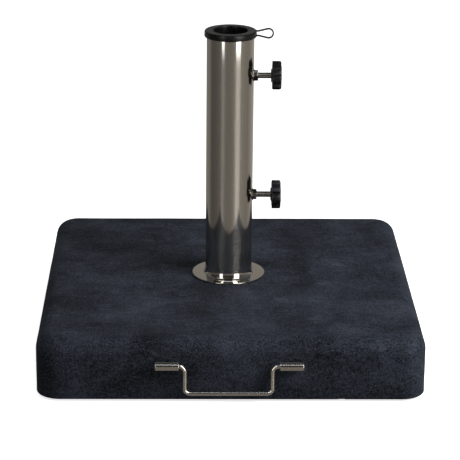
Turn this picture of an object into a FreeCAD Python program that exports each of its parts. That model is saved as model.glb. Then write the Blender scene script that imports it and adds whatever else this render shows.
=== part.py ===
import FreeCAD, Part
import math
import os

from FreeCAD import Vector

# Parasol base: a granite slab on rubber feet, a bolted-on standpipe with two clamp screws,
# a bail handle on the front edge and two wheels in the rear edge.
# Millimetres and degrees. The origin is on the ground under the middle of the slab.
# +Z is up, the handle is on the -Y side, the wheels on +Y and the clamp screws point to +X.

# Slab and feet
FOOT_HEIGHT = 3.0
FOOT_RADIUS = 16.0
FOOT_CHAMFER = 0.6
FOOT_OFFSET = 205.0
SLAB_SIDE = 500.0
SLAB_THICKNESS = 80.0
SLAB_CORNER_RADIUS = 32.0
SLAB_TOP_ROUND = 20.0
SLAB_BOTTOM_ROUND = 1.5

# Standpipe and the plate welded in its foot
PIPE_RADIUS = 31.75
PIPE_WALL = 2.0
PIPE_LENGTH = 334.4
PIPE_EDGE_ROUND = 0.5
END_PLATE_THICKNESS = 6.0

# Cover rosette
ROSETTE_RADIUS = 49.5
ROSETTE_THICKNESS = 2.6
ROSETTE_RIM_ROUND = 0.5
ROSETTE_RISE = 0.8
COLLAR_HEIGHT = 13.2
COLLAR_FOOT_RADIUS = 34.1
COLLAR_TOP_RADIUS = 32.1
COLLAR_FOOT_EASE = 0.5
COLLAR_TOP_EASE = 0.3
COLLAR_FLARE = 0.28

# Fixing bolt (M12) with its washers, in a counterbore under the slab
BOLT_RADIUS = 6.0
BOLT_HEAD_FLATS = 18.0
BOLT_HEAD_HEIGHT = 7.5
BOLT_END_ABOVE_PLATE = 4.0
BOLT_HOLE_RADIUS = 7.0
HEXAGON_CHAMFER = 0.96
COUNTERBORE_RADIUS = 24.0
COUNTERBORE_DEPTH = 22.0
LOAD_WASHER_RADIUS = 20.0
LOAD_WASHER_THICKNESS = 4.0
LOAD_WASHER_GAP = 0.5
SPRING_WASHER_RADIUS = 10.5
SPRING_WASHER_THICKNESS = 2.5
SPRING_WASHER_GAP = 0.2
SPRING_WASHER_SPLIT = 1.2

# Clamp screws (M8), the same twice except for how far each is turned out
SCREW_RADIUS = 4.0
SCREW_RUNNING_GAP = 0.06
PIPE_SCREW_HOLE_RADIUS = 4.4
NUT_FLATS = 13.0
NUT_FACE_X = 37.3
KNOB_BACK_X = 54.5
STUD_TIP_X = 26.3
STUD_LENGTH = 36.0
STUD_CHAMFER = 0.6
THRUST_PAD_RADIUS = 3.5
THRUST_PAD_LENGTH = 2.4
THRUST_PAD_GAP = 0.35
THRUST_PAD_ROUND = 0.8
THRUST_PIN_RADIUS = 1.5
THRUST_PIN_LENGTH = 3.2
CLAMP_SCREWS = {
    # name: (height above the slab's top, turned out by, turn of the knob, turn of the nut)
    "upper": (281.0, 0.0, 77.14, 30.0),
    "lower": (114.3, 1.6, 90.0, 0.0),
}

# Star knob
KNOB_RADIUS = 19.5
KNOB_LOBES = 7
KNOB_THICKNESS = 12.2
KNOB_VALLEY_RADIUS = 5.4
KNOB_VALLEY_CENTRE = 21.8
KNOB_LOBE_ROUND = 3.2
KNOB_FRONT_ROUND = 2.6
KNOB_BACK_ROUND = 0.8
KNOB_HUB_LENGTH = 1.6
KNOB_HUB_RADIUS = 10.4
KNOB_HUB_END_RADIUS = 8.2
KNOB_DISH_RADIUS = 9.0
KNOB_DISH_DEPTH = 0.8

# Reducing ring and its pull loop
RING_LIP_RADIUS = 34.9
RING_LIP_THICKNESS = 8.2
RING_BORE_RADIUS = 23.0
RING_SLEEVE_LENGTH = 34.0
RING_SLEEVE_GAP = 0.3
RING_SLEEVE_TAPER_DEPTH = 1.0
RING_SLEEVE_TAPER_LENGTH = 2.0
RING_SEAT_GAP = 0.2
RING_TOP_ROUND = 2.0
RING_UNDER_ROUND = 0.8
RING_MOUTH_ROUND = 1.4
RING_NUB_SIZE = 1.6
RING_NUB_ANGLES = (-93.0, -37.0)
LOOP_THICKNESS = 1.5
LOOP_WIDTH = 3.4
LOOP_EYE_RADIUS = 6.2
LOOP_EYE_X = 50.4
LOOP_SPREAD = 14.0
LOOP_ROOT_HALF_GAP = 3.1
LOOP_ROOT_DEPTH = 1.8
LOOP_ROOT_BEND = 12.0

# Bail handle, the barrels that it turns in and their anchors in the stone
HANDLE_MIDDLE_X = -2.7
HANDLE_SHIFT = -0.9
HANDLE_ROD_RADIUS = 3.0
HANDLE_AXIS_STAND_OFF = 8.5
HANDLE_AXIS_ABOVE_SLAB_FOOT = 49.6
HANDLE_DROP = 37.3
HANDLE_LEG_X = 55.6
HANDLE_UPPER_BEND = 8.0
HANDLE_LOWER_BEND = 7.0
BARREL_RADIUS = 6.0
BARREL_INNER_X = 64.0
BARREL_LENGTH = 30.4
BARREL_BORE_DEPTH = 27.5
BARREL_END_ROUND = 0.6
HANDLE_RUNNING_GAP = 0.05
HANDLE_END_GAP = 1.4
ANCHOR_RADIUS = 4.0
ANCHOR_DEPTH = 45.0

# Wheels in the rear edge
WHEEL_X = 165.0
WHEEL_Y = 240.0
WHEEL_RADIUS = 25.0
WHEEL_GROUND_GAP = 1.0
TYRE_WIDTH = 20.0
TYRE_INNER_RADIUS = 19.0
TYRE_ROUND = 4.0
HUB_RADIUS = 8.5
HUB_WIDTH = 21.0
RIM_WIDTH = 16.0
RIM_WEB_WIDTH = 8.0
RIM_BEAD_RADIUS = 16.0
AXLE_RADIUS = 4.0
AXLE_RUNNING_GAP = 0.06
AXLE_HEAD_RADIUS = 6.5
AXLE_HEAD_THICKNESS = 2.0
AXLE_HEAD_ROUND = 0.9
BRACKET_SHEET = 2.5
BRACKET_INNER_WIDTH = 22.0
BRACKET_FRONT_Y = 203.0
BRACKET_REAR_Y = 248.0
BRACKET_CHEEK_FRONT_Y = 224.0
BRACKET_EYE_RADIUS = 8.0
RECESS_WIDTH = 34.0
RECESS_FRONT_Y = 198.0
RECESS_HEIGHT = 55.0
BRACKET_SCREW_Y = 210.0
BRACKET_SCREW_SPACING = 14.0
BRACKET_SCREW_RADIUS = 3.0
BRACKET_SCREW_DEPTH = 14.0
BRACKET_SCREW_HEAD_RADIUS = 5.2
BRACKET_SCREW_HEAD_HEIGHT = 3.4
BRACKET_SCREW_HEAD_ROUND = 1.6
BRACKET_SCREW_SLOT_WIDTH = 1.2
BRACKET_SCREW_SLOT_DEPTH = 1.2

# Levels and places that follow from the sizes above
SLAB_BOTTOM = FOOT_HEIGHT
SLAB_TOP = SLAB_BOTTOM + SLAB_THICKNESS
PIPE_TOP = SLAB_TOP + PIPE_LENGTH
PIPE_BORE_RADIUS = PIPE_RADIUS - PIPE_WALL
END_PLATE_TOP = SLAB_TOP + END_PLATE_THICKNESS
COUNTERBORE_ROOF = SLAB_BOTTOM + COUNTERBORE_DEPTH
RING_SEAT = PIPE_TOP + RING_SEAT_GAP
RING_TOP = RING_SEAT + RING_LIP_THICKNESS
HANDLE_AXIS_Y = -SLAB_SIDE / 2 - HANDLE_AXIS_STAND_OFF
HANDLE_AXIS_Z = SLAB_BOTTOM + HANDLE_AXIS_ABOVE_SLAB_FOOT
WHEEL_Z = WHEEL_GROUND_GAP + WHEEL_RADIUS
RECESS_ROOF = SLAB_BOTTOM + RECESS_HEIGHT
SIDES = {"left": -1, "right": 1}

X_AXIS = Vector(1, 0, 0)
Y_AXIS = Vector(0, 1, 0)
Z_AXIS = Vector(0, 0, 1)
TOUCHING = 1e-4


def cylinder(radius, start, axis, length):
    """A round bar from the start point along the axis."""
    return Part.makeCylinder(radius, length, start, axis)


def disc(radius, bottom, top):
    """A round bar on the Z axis between two levels."""
    return cylinder(radius, Vector(0, 0, bottom), Z_AXIS, top - bottom)


def box(low, high):
    """A box between two corners."""
    return Part.makeBox(high[0] - low[0], high[1] - low[1], high[2] - low[2], Vector(*low))


def hexagon_bar(across_flats, start, length, turn):
    """A hexagon bar along +X with one end face chamfered; turn 0 puts corners up and down."""
    corner_radius = across_flats / math.sqrt(3.0)
    angles = [math.radians(60.0 * step + 90.0 + turn) for step in range(7)]
    corners = [Vector(start, corner_radius * math.cos(angle), corner_radius * math.sin(angle))
               for angle in angles]
    bar = Part.Face(Part.makePolygon(corners)).extrude(X_AXIS * length)
    chamfer_start = across_flats / 2.0 * HEXAGON_CHAMFER
    reach = corner_radius * math.sqrt(3.0)
    cone = Part.makeCone(chamfer_start + reach, chamfer_start, reach / math.sqrt(3.0),
                         Vector(start + length - reach / math.sqrt(3.0), 0, 0), X_AXIS)
    return bar.common(cone)


def turned(points, axis=Z_AXIS):
    """A ring or disc turned about an axis from an outline of (radius, height) points.

    A point given as a triple ends an arc: (radius, height, (radius, height) of its middle).
    """
    def place(radius, height):
        if axis == Z_AXIS:
            return Vector(radius, 0, height)
        return Vector(height, 0, radius)

    edges = []
    previous = place(*points[-1][:2])
    for point in points:
        current = place(*point[:2])
        if len(point) == 3:
            edges.append(Part.Arc(previous, place(*point[2]), current).toShape())
        else:
            edges.append(Part.makeLine(previous, current))
        previous = current
    return Part.Face(Part.Wire(edges)).revolve(Vector(0, 0, 0), axis, 360)


def bent_bar(corners, bends, radius):
    """A round bar along straight runs between corners, joined by tangent arcs."""
    edges = []
    run_start = corners[0]
    for before, corner, after, bend in zip(corners, corners[1:], corners[2:], bends):
        back = (before - corner).normalize()
        ahead = (after - corner).normalize()
        half_turn = (math.pi - back.getAngle(ahead)) / 2.0
        cut = bend * math.tan(half_turn)
        inward = (back + ahead).normalize()
        middle = corner + inward * (bend / math.cos(half_turn) - bend)
        arc_start = corner + back * cut
        arc_end = corner + ahead * cut
        edges.append(Part.makeLine(run_start, arc_start))
        edges.append(Part.Arc(arc_start, middle, arc_end).toShape())
        run_start = arc_end
    edges.append(Part.makeLine(run_start, corners[-1]))
    section = Part.Wire(Part.makeCircle(radius, corners[0], corners[1] - corners[0]))
    return Part.Wire(edges).makePipeShell([section], True, True)


def near(first, second):
    """True for two coordinates that are the same."""
    return abs(first - second) < TOUCHING


def level_edges(shape, level):
    """The edges that lie wholly at one height."""
    return [edge for edge in shape.Edges
            if near(edge.BoundBox.ZMin, level) and near(edge.BoundBox.ZMax, level)]


def edges_at_x(shape, position):
    """The edges that lie wholly in one plane across X."""
    return [edge for edge in shape.Edges
            if near(edge.BoundBox.XMin, position) and near(edge.BoundBox.XMax, position)]


def edges_along_x(shape):
    """The straight edges that run along X."""
    return [edge for edge in shape.Edges
            if near(edge.BoundBox.YLength, 0) and near(edge.BoundBox.ZLength, 0)]


def upright_edges(shape):
    """The straight edges that run along Z."""
    return [edge for edge in shape.Edges
            if near(edge.BoundBox.XLength, 0) and near(edge.BoundBox.YLength, 0)]


def export(name, shape):
    """Write one node's STEP file."""
    shape.exportStep("parts/" + name + ".step")


def barrel_middle(side):
    """The middle of one hinge barrel, along X."""
    return HANDLE_MIDDLE_X + side * (BARREL_INNER_X + BARREL_LENGTH / 2)


def stone_slab():
    """The granite slab with its bolt hole, anchor holes and wheel recesses."""
    half = SLAB_SIDE / 2
    slab = box((-half, -half, SLAB_BOTTOM), (half, half, SLAB_TOP))
    slab = slab.makeFillet(SLAB_CORNER_RADIUS, upright_edges(slab))
    slab = slab.makeFillet(SLAB_TOP_ROUND, level_edges(slab, SLAB_TOP))
    slab = slab.makeFillet(SLAB_BOTTOM_ROUND, level_edges(slab, SLAB_BOTTOM))
    cuts = [disc(BOLT_HOLE_RADIUS, 0, SLAB_TOP + 1), disc(COUNTERBORE_RADIUS, 0, COUNTERBORE_ROOF)]
    for side in SIDES.values():
        cuts.append(cylinder(ANCHOR_RADIUS, Vector(barrel_middle(side), -half - 1, HANDLE_AXIS_Z),
                             Y_AXIS, ANCHOR_DEPTH + 1))
        centre = side * WHEEL_X
        cuts.append(box((centre - RECESS_WIDTH / 2, RECESS_FRONT_Y, 0),
                        (centre + RECESS_WIDTH / 2, half + 1, RECESS_ROOF)))
        cuts += [cylinder(BRACKET_SCREW_RADIUS, Vector(x, BRACKET_SCREW_Y, RECESS_ROOF - 1),
                          Z_AXIS, BRACKET_SCREW_DEPTH + 1) for x in bracket_screw_places(side)]
    return slab.cut(Part.makeCompound(cuts))


def foot_pads():
    """Four round rubber pads glued under the slab's corners."""
    pads = []
    for x in (-FOOT_OFFSET, FOOT_OFFSET):
        for y in (-FOOT_OFFSET, FOOT_OFFSET):
            pad = cylinder(FOOT_RADIUS, Vector(x, y, 0), Z_AXIS, FOOT_HEIGHT)
            pads.append(pad.makeChamfer(FOOT_CHAMFER, level_edges(pad, 0)))
    return Part.makeCompound(pads)


def standpipe():
    """The stainless tube, with a hole for each clamp screw."""
    outline = [
        (PIPE_BORE_RADIUS, SLAB_TOP),
        (PIPE_RADIUS, SLAB_TOP),
        (PIPE_RADIUS, PIPE_TOP - PIPE_EDGE_ROUND),
        (PIPE_RADIUS - PIPE_EDGE_ROUND, PIPE_TOP),
        (PIPE_BORE_RADIUS + PIPE_EDGE_ROUND, PIPE_TOP),
        (PIPE_BORE_RADIUS, PIPE_TOP - PIPE_EDGE_ROUND),
    ]
    holes = [cylinder(PIPE_SCREW_HOLE_RADIUS, Vector(0, 0, SLAB_TOP + height), X_AXIS, PIPE_RADIUS + 1)
             for height, _, _, _ in CLAMP_SCREWS.values()]
    return turned(outline).cut(Part.makeCompound(holes))


def pipe_end_plate():
    """The threaded plate welded in the foot of the pipe."""
    plate = disc(PIPE_BORE_RADIUS, SLAB_TOP, END_PLATE_TOP)
    return plate.cut(disc(BOLT_RADIUS, SLAB_TOP, END_PLATE_TOP))


def cover_rosette():
    """The polished disc on the slab, with a flared collar that hugs the pipe."""
    rim = ROSETTE_RIM_ROUND
    flare = COLLAR_TOP_RADIUS + COLLAR_FLARE * (COLLAR_FOOT_RADIUS - COLLAR_TOP_RADIUS)
    collar_foot = ROSETTE_THICKNESS + ROSETTE_RISE
    sag = rim * (1 - math.sqrt(0.5))
    outline = [
        (PIPE_RADIUS, 0),
        (ROSETTE_RADIUS, 0),
        (ROSETTE_RADIUS, ROSETTE_THICKNESS - rim),
        (ROSETTE_RADIUS - rim, ROSETTE_THICKNESS, (ROSETTE_RADIUS - sag, ROSETTE_THICKNESS - sag)),
        (COLLAR_FOOT_RADIUS + COLLAR_FOOT_EASE, collar_foot),
        (COLLAR_FOOT_RADIUS, collar_foot + COLLAR_FOOT_EASE),
        (COLLAR_TOP_RADIUS, COLLAR_HEIGHT - COLLAR_TOP_EASE, (flare, (collar_foot + COLLAR_HEIGHT) / 2)),
        (PIPE_RADIUS, COLLAR_HEIGHT),
    ]
    return turned([raised(point, SLAB_TOP) for point in outline])


def raised(point, by):
    """An outline point, with its arc's middle if it has one, moved up."""
    if len(point) == 3:
        return (point[0], point[1] + by, (point[2][0], point[2][1] + by))
    return (point[0], point[1] + by)


def fixing_bolt():
    """The hexagon bolt that pulls the pipe down on the slab."""
    head_top = COUNTERBORE_ROOF - LOAD_WASHER_THICKNESS - SPRING_WASHER_THICKNESS
    head = hexagon_bar(BOLT_HEAD_FLATS, 0, BOLT_HEAD_HEIGHT, 0)
    head.rotate(Vector(0, 0, 0), Y_AXIS, 90)
    head.translate(Vector(0, 0, head_top))
    return head.fuse(disc(BOLT_RADIUS, head_top, END_PLATE_TOP + BOLT_END_ABOVE_PLATE)).removeSplitter()


def load_washer():
    """The large washer that spreads the bolt's pull over the stone."""
    bottom = COUNTERBORE_ROOF - LOAD_WASHER_THICKNESS
    washer = disc(LOAD_WASHER_RADIUS, bottom, COUNTERBORE_ROOF)
    return washer.cut(disc(BOLT_RADIUS + LOAD_WASHER_GAP, bottom, COUNTERBORE_ROOF))


def spring_washer():
    """The split washer under the bolt's head."""
    top = COUNTERBORE_ROOF - LOAD_WASHER_THICKNESS
    bottom = top - SPRING_WASHER_THICKNESS
    washer = disc(SPRING_WASHER_RADIUS, bottom, top)
    washer = washer.cut(disc(BOLT_RADIUS + SPRING_WASHER_GAP, bottom, top))
    half_split = SPRING_WASHER_SPLIT / 2
    return washer.cut(box((0, -half_split, bottom), (SPRING_WASHER_RADIUS + 1, half_split, top)))


def weld_nut(height, turn):
    """A hexagon nut welded to the pipe, its inner end shaped to the pipe."""
    inner_x = PIPE_BORE_RADIUS
    nut = hexagon_bar(NUT_FLATS, inner_x, NUT_FACE_X - inner_x, turn)
    bore = cylinder(SCREW_RADIUS + SCREW_RUNNING_GAP, Vector(0, 0, 0), X_AXIS, NUT_FACE_X + 1)
    nut = nut.cut(bore)
    nut.translate(Vector(0, 0, SLAB_TOP + height))
    return nut.cut(disc(PIPE_RADIUS, SLAB_TOP, PIPE_TOP))


def clamp_stud(height, turned_out):
    """The threaded stud, with a bore in its tip for the thrust tip's pin."""
    stud = cylinder(SCREW_RADIUS, Vector(STUD_TIP_X, 0, 0), X_AXIS, STUD_LENGTH)
    stud = stud.makeChamfer(STUD_CHAMFER, edges_at_x(stud, STUD_TIP_X))
    pin_bore = cylinder(THRUST_PIN_RADIUS + SCREW_RUNNING_GAP, Vector(STUD_TIP_X, 0, 0), X_AXIS,
                        THRUST_PIN_LENGTH + THRUST_PAD_GAP)
    stud = stud.cut(pin_bore)
    stud.translate(Vector(turned_out, 0, SLAB_TOP + height))
    return stud


def thrust_tip(height, turned_out):
    """The swivel pad on the stud's tip, which doesn't turn while it presses on the pole."""
    pad_end = STUD_TIP_X - THRUST_PAD_GAP
    pad_face = pad_end - THRUST_PAD_LENGTH
    pad = cylinder(THRUST_PAD_RADIUS, Vector(pad_face, 0, 0), X_AXIS, THRUST_PAD_LENGTH)
    pad = pad.makeFillet(THRUST_PAD_ROUND, edges_at_x(pad, pad_face))
    pin = cylinder(THRUST_PIN_RADIUS, Vector(pad_end, 0, 0), X_AXIS, THRUST_PIN_LENGTH)
    tip = pad.fuse(pin).removeSplitter()
    tip.translate(Vector(turned_out, 0, SLAB_TOP + height))
    return tip


def star_knob(height, turned_out, turn):
    """The lobed knob moulded on the stud, with a hub on its back."""
    disc_back = KNOB_BACK_X + KNOB_HUB_LENGTH
    disc_front = disc_back + KNOB_THICKNESS
    knob = cylinder(KNOB_RADIUS, Vector(disc_back, 0, 0), X_AXIS, KNOB_THICKNESS)
    valleys = []
    for lobe in range(KNOB_LOBES):
        angle = math.radians((lobe + 0.5) * 360.0 / KNOB_LOBES + turn)
        centre = Vector(disc_back - 1, math.cos(angle) * KNOB_VALLEY_CENTRE,
                        math.sin(angle) * KNOB_VALLEY_CENTRE)
        valleys.append(cylinder(KNOB_VALLEY_RADIUS, centre, X_AXIS, KNOB_THICKNESS + 2))
    knob = knob.cut(Part.makeCompound(valleys))
    knob = knob.makeFillet(KNOB_LOBE_ROUND, edges_along_x(knob))
    knob = knob.makeFillet(KNOB_FRONT_ROUND, edges_at_x(knob, disc_front))
    knob = knob.makeFillet(KNOB_BACK_ROUND, edges_at_x(knob, disc_back))
    hub = Part.makeCone(KNOB_HUB_END_RADIUS, KNOB_HUB_RADIUS, KNOB_HUB_LENGTH,
                        Vector(KNOB_BACK_X, 0, 0), X_AXIS)
    knob = knob.fuse(hub).removeSplitter()
    dish_floor = disc_front - KNOB_DISH_DEPTH
    dish = cylinder(KNOB_DISH_RADIUS, Vector(dish_floor, 0, 0), X_AXIS, KNOB_DISH_DEPTH + 1)
    stud = cylinder(SCREW_RADIUS, Vector(STUD_TIP_X, 0, 0), X_AXIS, STUD_LENGTH)
    knob = knob.cut(dish).cut(stud)
    knob.translate(Vector(turned_out, 0, SLAB_TOP + height))
    return knob


def teardrop(grow, root_x, width):
    """An upright plate in the loop's outline, grown by some amount from the strap's middle line."""
    spread = math.radians(LOOP_SPREAD)
    eye_radius = LOOP_EYE_RADIUS + grow
    half_gap = LOOP_ROOT_HALF_GAP + grow
    bend = LOOP_ROOT_BEND - grow
    leave_x = LOOP_EYE_X - math.sin(spread) * eye_radius
    leave_z = math.cos(spread) * eye_radius
    corner_x = leave_x - (leave_z - half_gap) / math.tan(spread)
    cut = bend * math.tan(spread / 2)
    bend_start_x = corner_x - cut
    run = (
        (root_x, half_gap),
        (bend_start_x, half_gap),
        (bend_start_x + math.sin(spread / 2) * bend, half_gap + (1 - math.cos(spread / 2)) * bend),
        (corner_x + math.cos(spread) * cut, half_gap + math.sin(spread) * cut),
        (leave_x, leave_z),
    )
    middle_z = RING_SEAT + RING_LIP_THICKNESS / 2
    upper = [Vector(x, -width / 2, middle_z + height) for x, height in run]
    lower = [Vector(x, -width / 2, middle_z - height) for x, height in run]
    eye_end = Vector(LOOP_EYE_X + eye_radius, -width / 2, middle_z)
    edges = [
        Part.makeLine(lower[0], upper[0]),
        Part.makeLine(upper[0], upper[1]),
        Part.Arc(upper[1], upper[2], upper[3]).toShape(),
        Part.makeLine(upper[3], upper[4]),
        Part.Arc(upper[4], eye_end, lower[4]).toShape(),
        Part.makeLine(lower[4], lower[3]),
        Part.Arc(lower[3], lower[2], lower[1]).toShape(),
        Part.makeLine(lower[1], lower[0]),
    ]
    return Part.Face(Part.Wire(edges)).extrude(Y_AXIS * width)


def pull_loop():
    """The stiff teardrop strap on the reducing ring's edge, with its eye facing sideways."""
    root_x = RING_LIP_RADIUS - LOOP_ROOT_DEPTH
    strap = teardrop(LOOP_THICKNESS / 2, root_x, LOOP_WIDTH)
    return strap.cut(teardrop(-LOOP_THICKNESS / 2, root_x - 1, LOOP_WIDTH))


def reducing_ring():
    """The black insert: a sleeve in the pipe's mouth and a lip that rests on its edge."""
    sleeve_radius = PIPE_BORE_RADIUS - RING_SLEEVE_GAP
    sleeve_bottom = RING_SEAT - RING_SLEEVE_LENGTH
    top_sag = RING_TOP_ROUND * (1 - math.sqrt(0.5))
    mouth_sag = RING_MOUTH_ROUND * (1 - math.sqrt(0.5))
    outline = [
        (RING_BORE_RADIUS, sleeve_bottom),
        (sleeve_radius - RING_SLEEVE_TAPER_DEPTH, sleeve_bottom),
        (sleeve_radius, sleeve_bottom + RING_SLEEVE_TAPER_LENGTH),
        (sleeve_radius, RING_SEAT),
        (RING_LIP_RADIUS - RING_UNDER_ROUND, RING_SEAT),
        (RING_LIP_RADIUS, RING_SEAT + RING_UNDER_ROUND),
        (RING_LIP_RADIUS, RING_TOP - RING_TOP_ROUND),
        (RING_LIP_RADIUS - RING_TOP_ROUND, RING_TOP, (RING_LIP_RADIUS - top_sag, RING_TOP - top_sag)),
        (RING_BORE_RADIUS + RING_MOUTH_ROUND, RING_TOP),
        (RING_BORE_RADIUS, RING_TOP - RING_MOUTH_ROUND,
         (RING_BORE_RADIUS + mouth_sag, RING_TOP - mouth_sag)),
    ]
    ring = turned(outline)
    nub_middle = (PIPE_RADIUS + RING_LIP_RADIUS) / 2
    for degrees in RING_NUB_ANGLES:
        angle = math.radians(degrees)
        place = Vector(nub_middle * math.cos(angle), nub_middle * math.sin(angle),
                       RING_SEAT - RING_NUB_SIZE / 2)
        ring = ring.fuse(cylinder(RING_NUB_SIZE / 2, place, Z_AXIS, RING_NUB_SIZE))
    return ring.removeSplitter().cut(pull_loop())


def carry_handle():
    """The bent round bar whose two ends turn in the barrels, pushed over to one end of its play."""
    end_x = BARREL_INNER_X + BARREL_BORE_DEPTH - HANDLE_END_GAP
    low_z = HANDLE_AXIS_Z - HANDLE_DROP
    places = [(-end_x, HANDLE_AXIS_Z), (-HANDLE_LEG_X, HANDLE_AXIS_Z), (-HANDLE_LEG_X, low_z),
              (HANDLE_LEG_X, low_z), (HANDLE_LEG_X, HANDLE_AXIS_Z), (end_x, HANDLE_AXIS_Z)]
    bends = [HANDLE_UPPER_BEND, HANDLE_LOWER_BEND, HANDLE_LOWER_BEND, HANDLE_UPPER_BEND]
    middle = HANDLE_MIDDLE_X + HANDLE_SHIFT
    corners = [Vector(middle + x, HANDLE_AXIS_Y, z) for x, z in places]
    return bent_bar(corners, bends, HANDLE_ROD_RADIUS)


def hinge_barrel(side):
    """One short tube, closed at its outer end, that holds an end of the handle."""
    inner_x = HANDLE_MIDDLE_X + side * BARREL_INNER_X
    outer_x = inner_x + side * BARREL_LENGTH
    start = Vector(inner_x, HANDLE_AXIS_Y, HANDLE_AXIS_Z)
    barrel = cylinder(BARREL_RADIUS, start, X_AXIS * side, BARREL_LENGTH)
    rims = edges_at_x(barrel, inner_x) + edges_at_x(barrel, outer_x)
    barrel = barrel.makeFillet(BARREL_END_ROUND, rims)
    bore = cylinder(HANDLE_ROD_RADIUS + HANDLE_RUNNING_GAP, start, X_AXIS * side, BARREL_BORE_DEPTH)
    return barrel.cut(bore)


def handle_anchor(side):
    """The stud from the back of a barrel into the stone."""
    length = HANDLE_AXIS_STAND_OFF + ANCHOR_DEPTH
    start = Vector(barrel_middle(side), HANDLE_AXIS_Y, HANDLE_AXIS_Z)
    stud = cylinder(ANCHOR_RADIUS, start, Y_AXIS, length)
    barrel = cylinder(BARREL_RADIUS, start - X_AXIS * BARREL_LENGTH, X_AXIS, 2 * BARREL_LENGTH)
    return stud.cut(barrel)


def bracket_screw_places(side):
    """Where one bracket's two screws stand, along X."""
    return [side * WHEEL_X + offset * BRACKET_SCREW_SPACING / 2 for offset in (-1, 1)]


def wheel_bracket(side):
    """A sheet-metal fork: a web against the recess's roof and a cheek each side of the wheel."""
    centre = side * WHEEL_X
    inner = BRACKET_INNER_WIDTH / 2
    outer = inner + BRACKET_SHEET
    web_bottom = RECESS_ROOF - BRACKET_SHEET
    bracket = box((centre - outer, BRACKET_FRONT_Y, web_bottom),
                  (centre + outer, BRACKET_REAR_Y, RECESS_ROOF))
    for cheek_side in (-1, 1):
        cheek_x = centre + (inner if cheek_side > 0 else -outer)
        cheek = box((cheek_x, BRACKET_CHEEK_FRONT_Y, WHEEL_Z),
                    (cheek_x + BRACKET_SHEET, BRACKET_REAR_Y, web_bottom))
        eye = cylinder(BRACKET_EYE_RADIUS, Vector(cheek_x, WHEEL_Y, WHEEL_Z), X_AXIS, BRACKET_SHEET)
        bracket = bracket.fuse([cheek, eye])
    holes = [cylinder(BRACKET_SCREW_RADIUS, Vector(x, BRACKET_SCREW_Y, web_bottom - 1),
                      Z_AXIS, BRACKET_SHEET + 2) for x in bracket_screw_places(side)]
    axle_start = Vector(centre - outer - 1, WHEEL_Y, WHEEL_Z)
    holes.append(cylinder(AXLE_RADIUS, axle_start, X_AXIS, 2 * outer + 2))
    return bracket.removeSplitter().cut(Part.makeCompound(holes))


def bracket_screw(x):
    """One slotted pan-head screw, driven up through the web into the stone."""
    web_bottom = RECESS_ROOF - BRACKET_SHEET
    head_bottom = web_bottom - BRACKET_SCREW_HEAD_HEIGHT
    head = cylinder(BRACKET_SCREW_HEAD_RADIUS, Vector(x, BRACKET_SCREW_Y, head_bottom),
                    Z_AXIS, BRACKET_SCREW_HEAD_HEIGHT)
    head = head.makeFillet(BRACKET_SCREW_HEAD_ROUND, level_edges(head, head_bottom))
    shank = cylinder(BRACKET_SCREW_RADIUS, Vector(x, BRACKET_SCREW_Y, web_bottom), Z_AXIS,
                     BRACKET_SHEET + BRACKET_SCREW_DEPTH)
    half_slot = BRACKET_SCREW_SLOT_WIDTH / 2
    reach = BRACKET_SCREW_HEAD_RADIUS
    slot = box((x - half_slot, BRACKET_SCREW_Y - reach, head_bottom),
               (x + half_slot, BRACKET_SCREW_Y + reach, head_bottom + BRACKET_SCREW_SLOT_DEPTH))
    return head.fuse(shank).removeSplitter().cut(slot)


def bracket_screws():
    """The four screws that hold both brackets to the stone."""
    return Part.makeCompound([bracket_screw(x) for side in SIDES.values()
                              for x in bracket_screw_places(side)])


def wheel_axle(side):
    """The riveted pin through the bracket's cheeks, with a head at each end."""
    cheek_face = BRACKET_INNER_WIDTH / 2 + BRACKET_SHEET
    reach = cheek_face + AXLE_HEAD_THICKNESS
    start = Vector(side * WHEEL_X - reach, WHEEL_Y, WHEEL_Z)
    axle = cylinder(AXLE_RADIUS, start, X_AXIS, 2 * reach)
    for head_x in (-reach, cheek_face):
        head = cylinder(AXLE_HEAD_RADIUS, Vector(side * WHEEL_X + head_x, WHEEL_Y, WHEEL_Z),
                        X_AXIS, AXLE_HEAD_THICKNESS)
        outer_face = side * WHEEL_X + (-reach if head_x < 0 else reach)
        axle = axle.fuse(head.makeFillet(AXLE_HEAD_ROUND, edges_at_x(head, outer_face)))
    return axle.removeSplitter()


def wheel_rim(side):
    """The moulded wheel centre: hub, web and bead seat."""
    bore = AXLE_RADIUS + AXLE_RUNNING_GAP
    outline = [
        (bore, -HUB_WIDTH / 2),
        (HUB_RADIUS, -HUB_WIDTH / 2),
        (HUB_RADIUS, -RIM_WEB_WIDTH / 2),
        (RIM_BEAD_RADIUS, -RIM_WEB_WIDTH / 2),
        (RIM_BEAD_RADIUS, -RIM_WIDTH / 2),
        (TYRE_INNER_RADIUS, -RIM_WIDTH / 2),
        (TYRE_INNER_RADIUS, RIM_WIDTH / 2),
        (RIM_BEAD_RADIUS, RIM_WIDTH / 2),
        (RIM_BEAD_RADIUS, RIM_WEB_WIDTH / 2),
        (HUB_RADIUS, RIM_WEB_WIDTH / 2),
        (HUB_RADIUS, HUB_WIDTH / 2),
        (bore, HUB_WIDTH / 2),
    ]
    rim = turned(outline, X_AXIS)
    rim.translate(Vector(side * WHEEL_X, WHEEL_Y, WHEEL_Z))
    return rim


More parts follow.
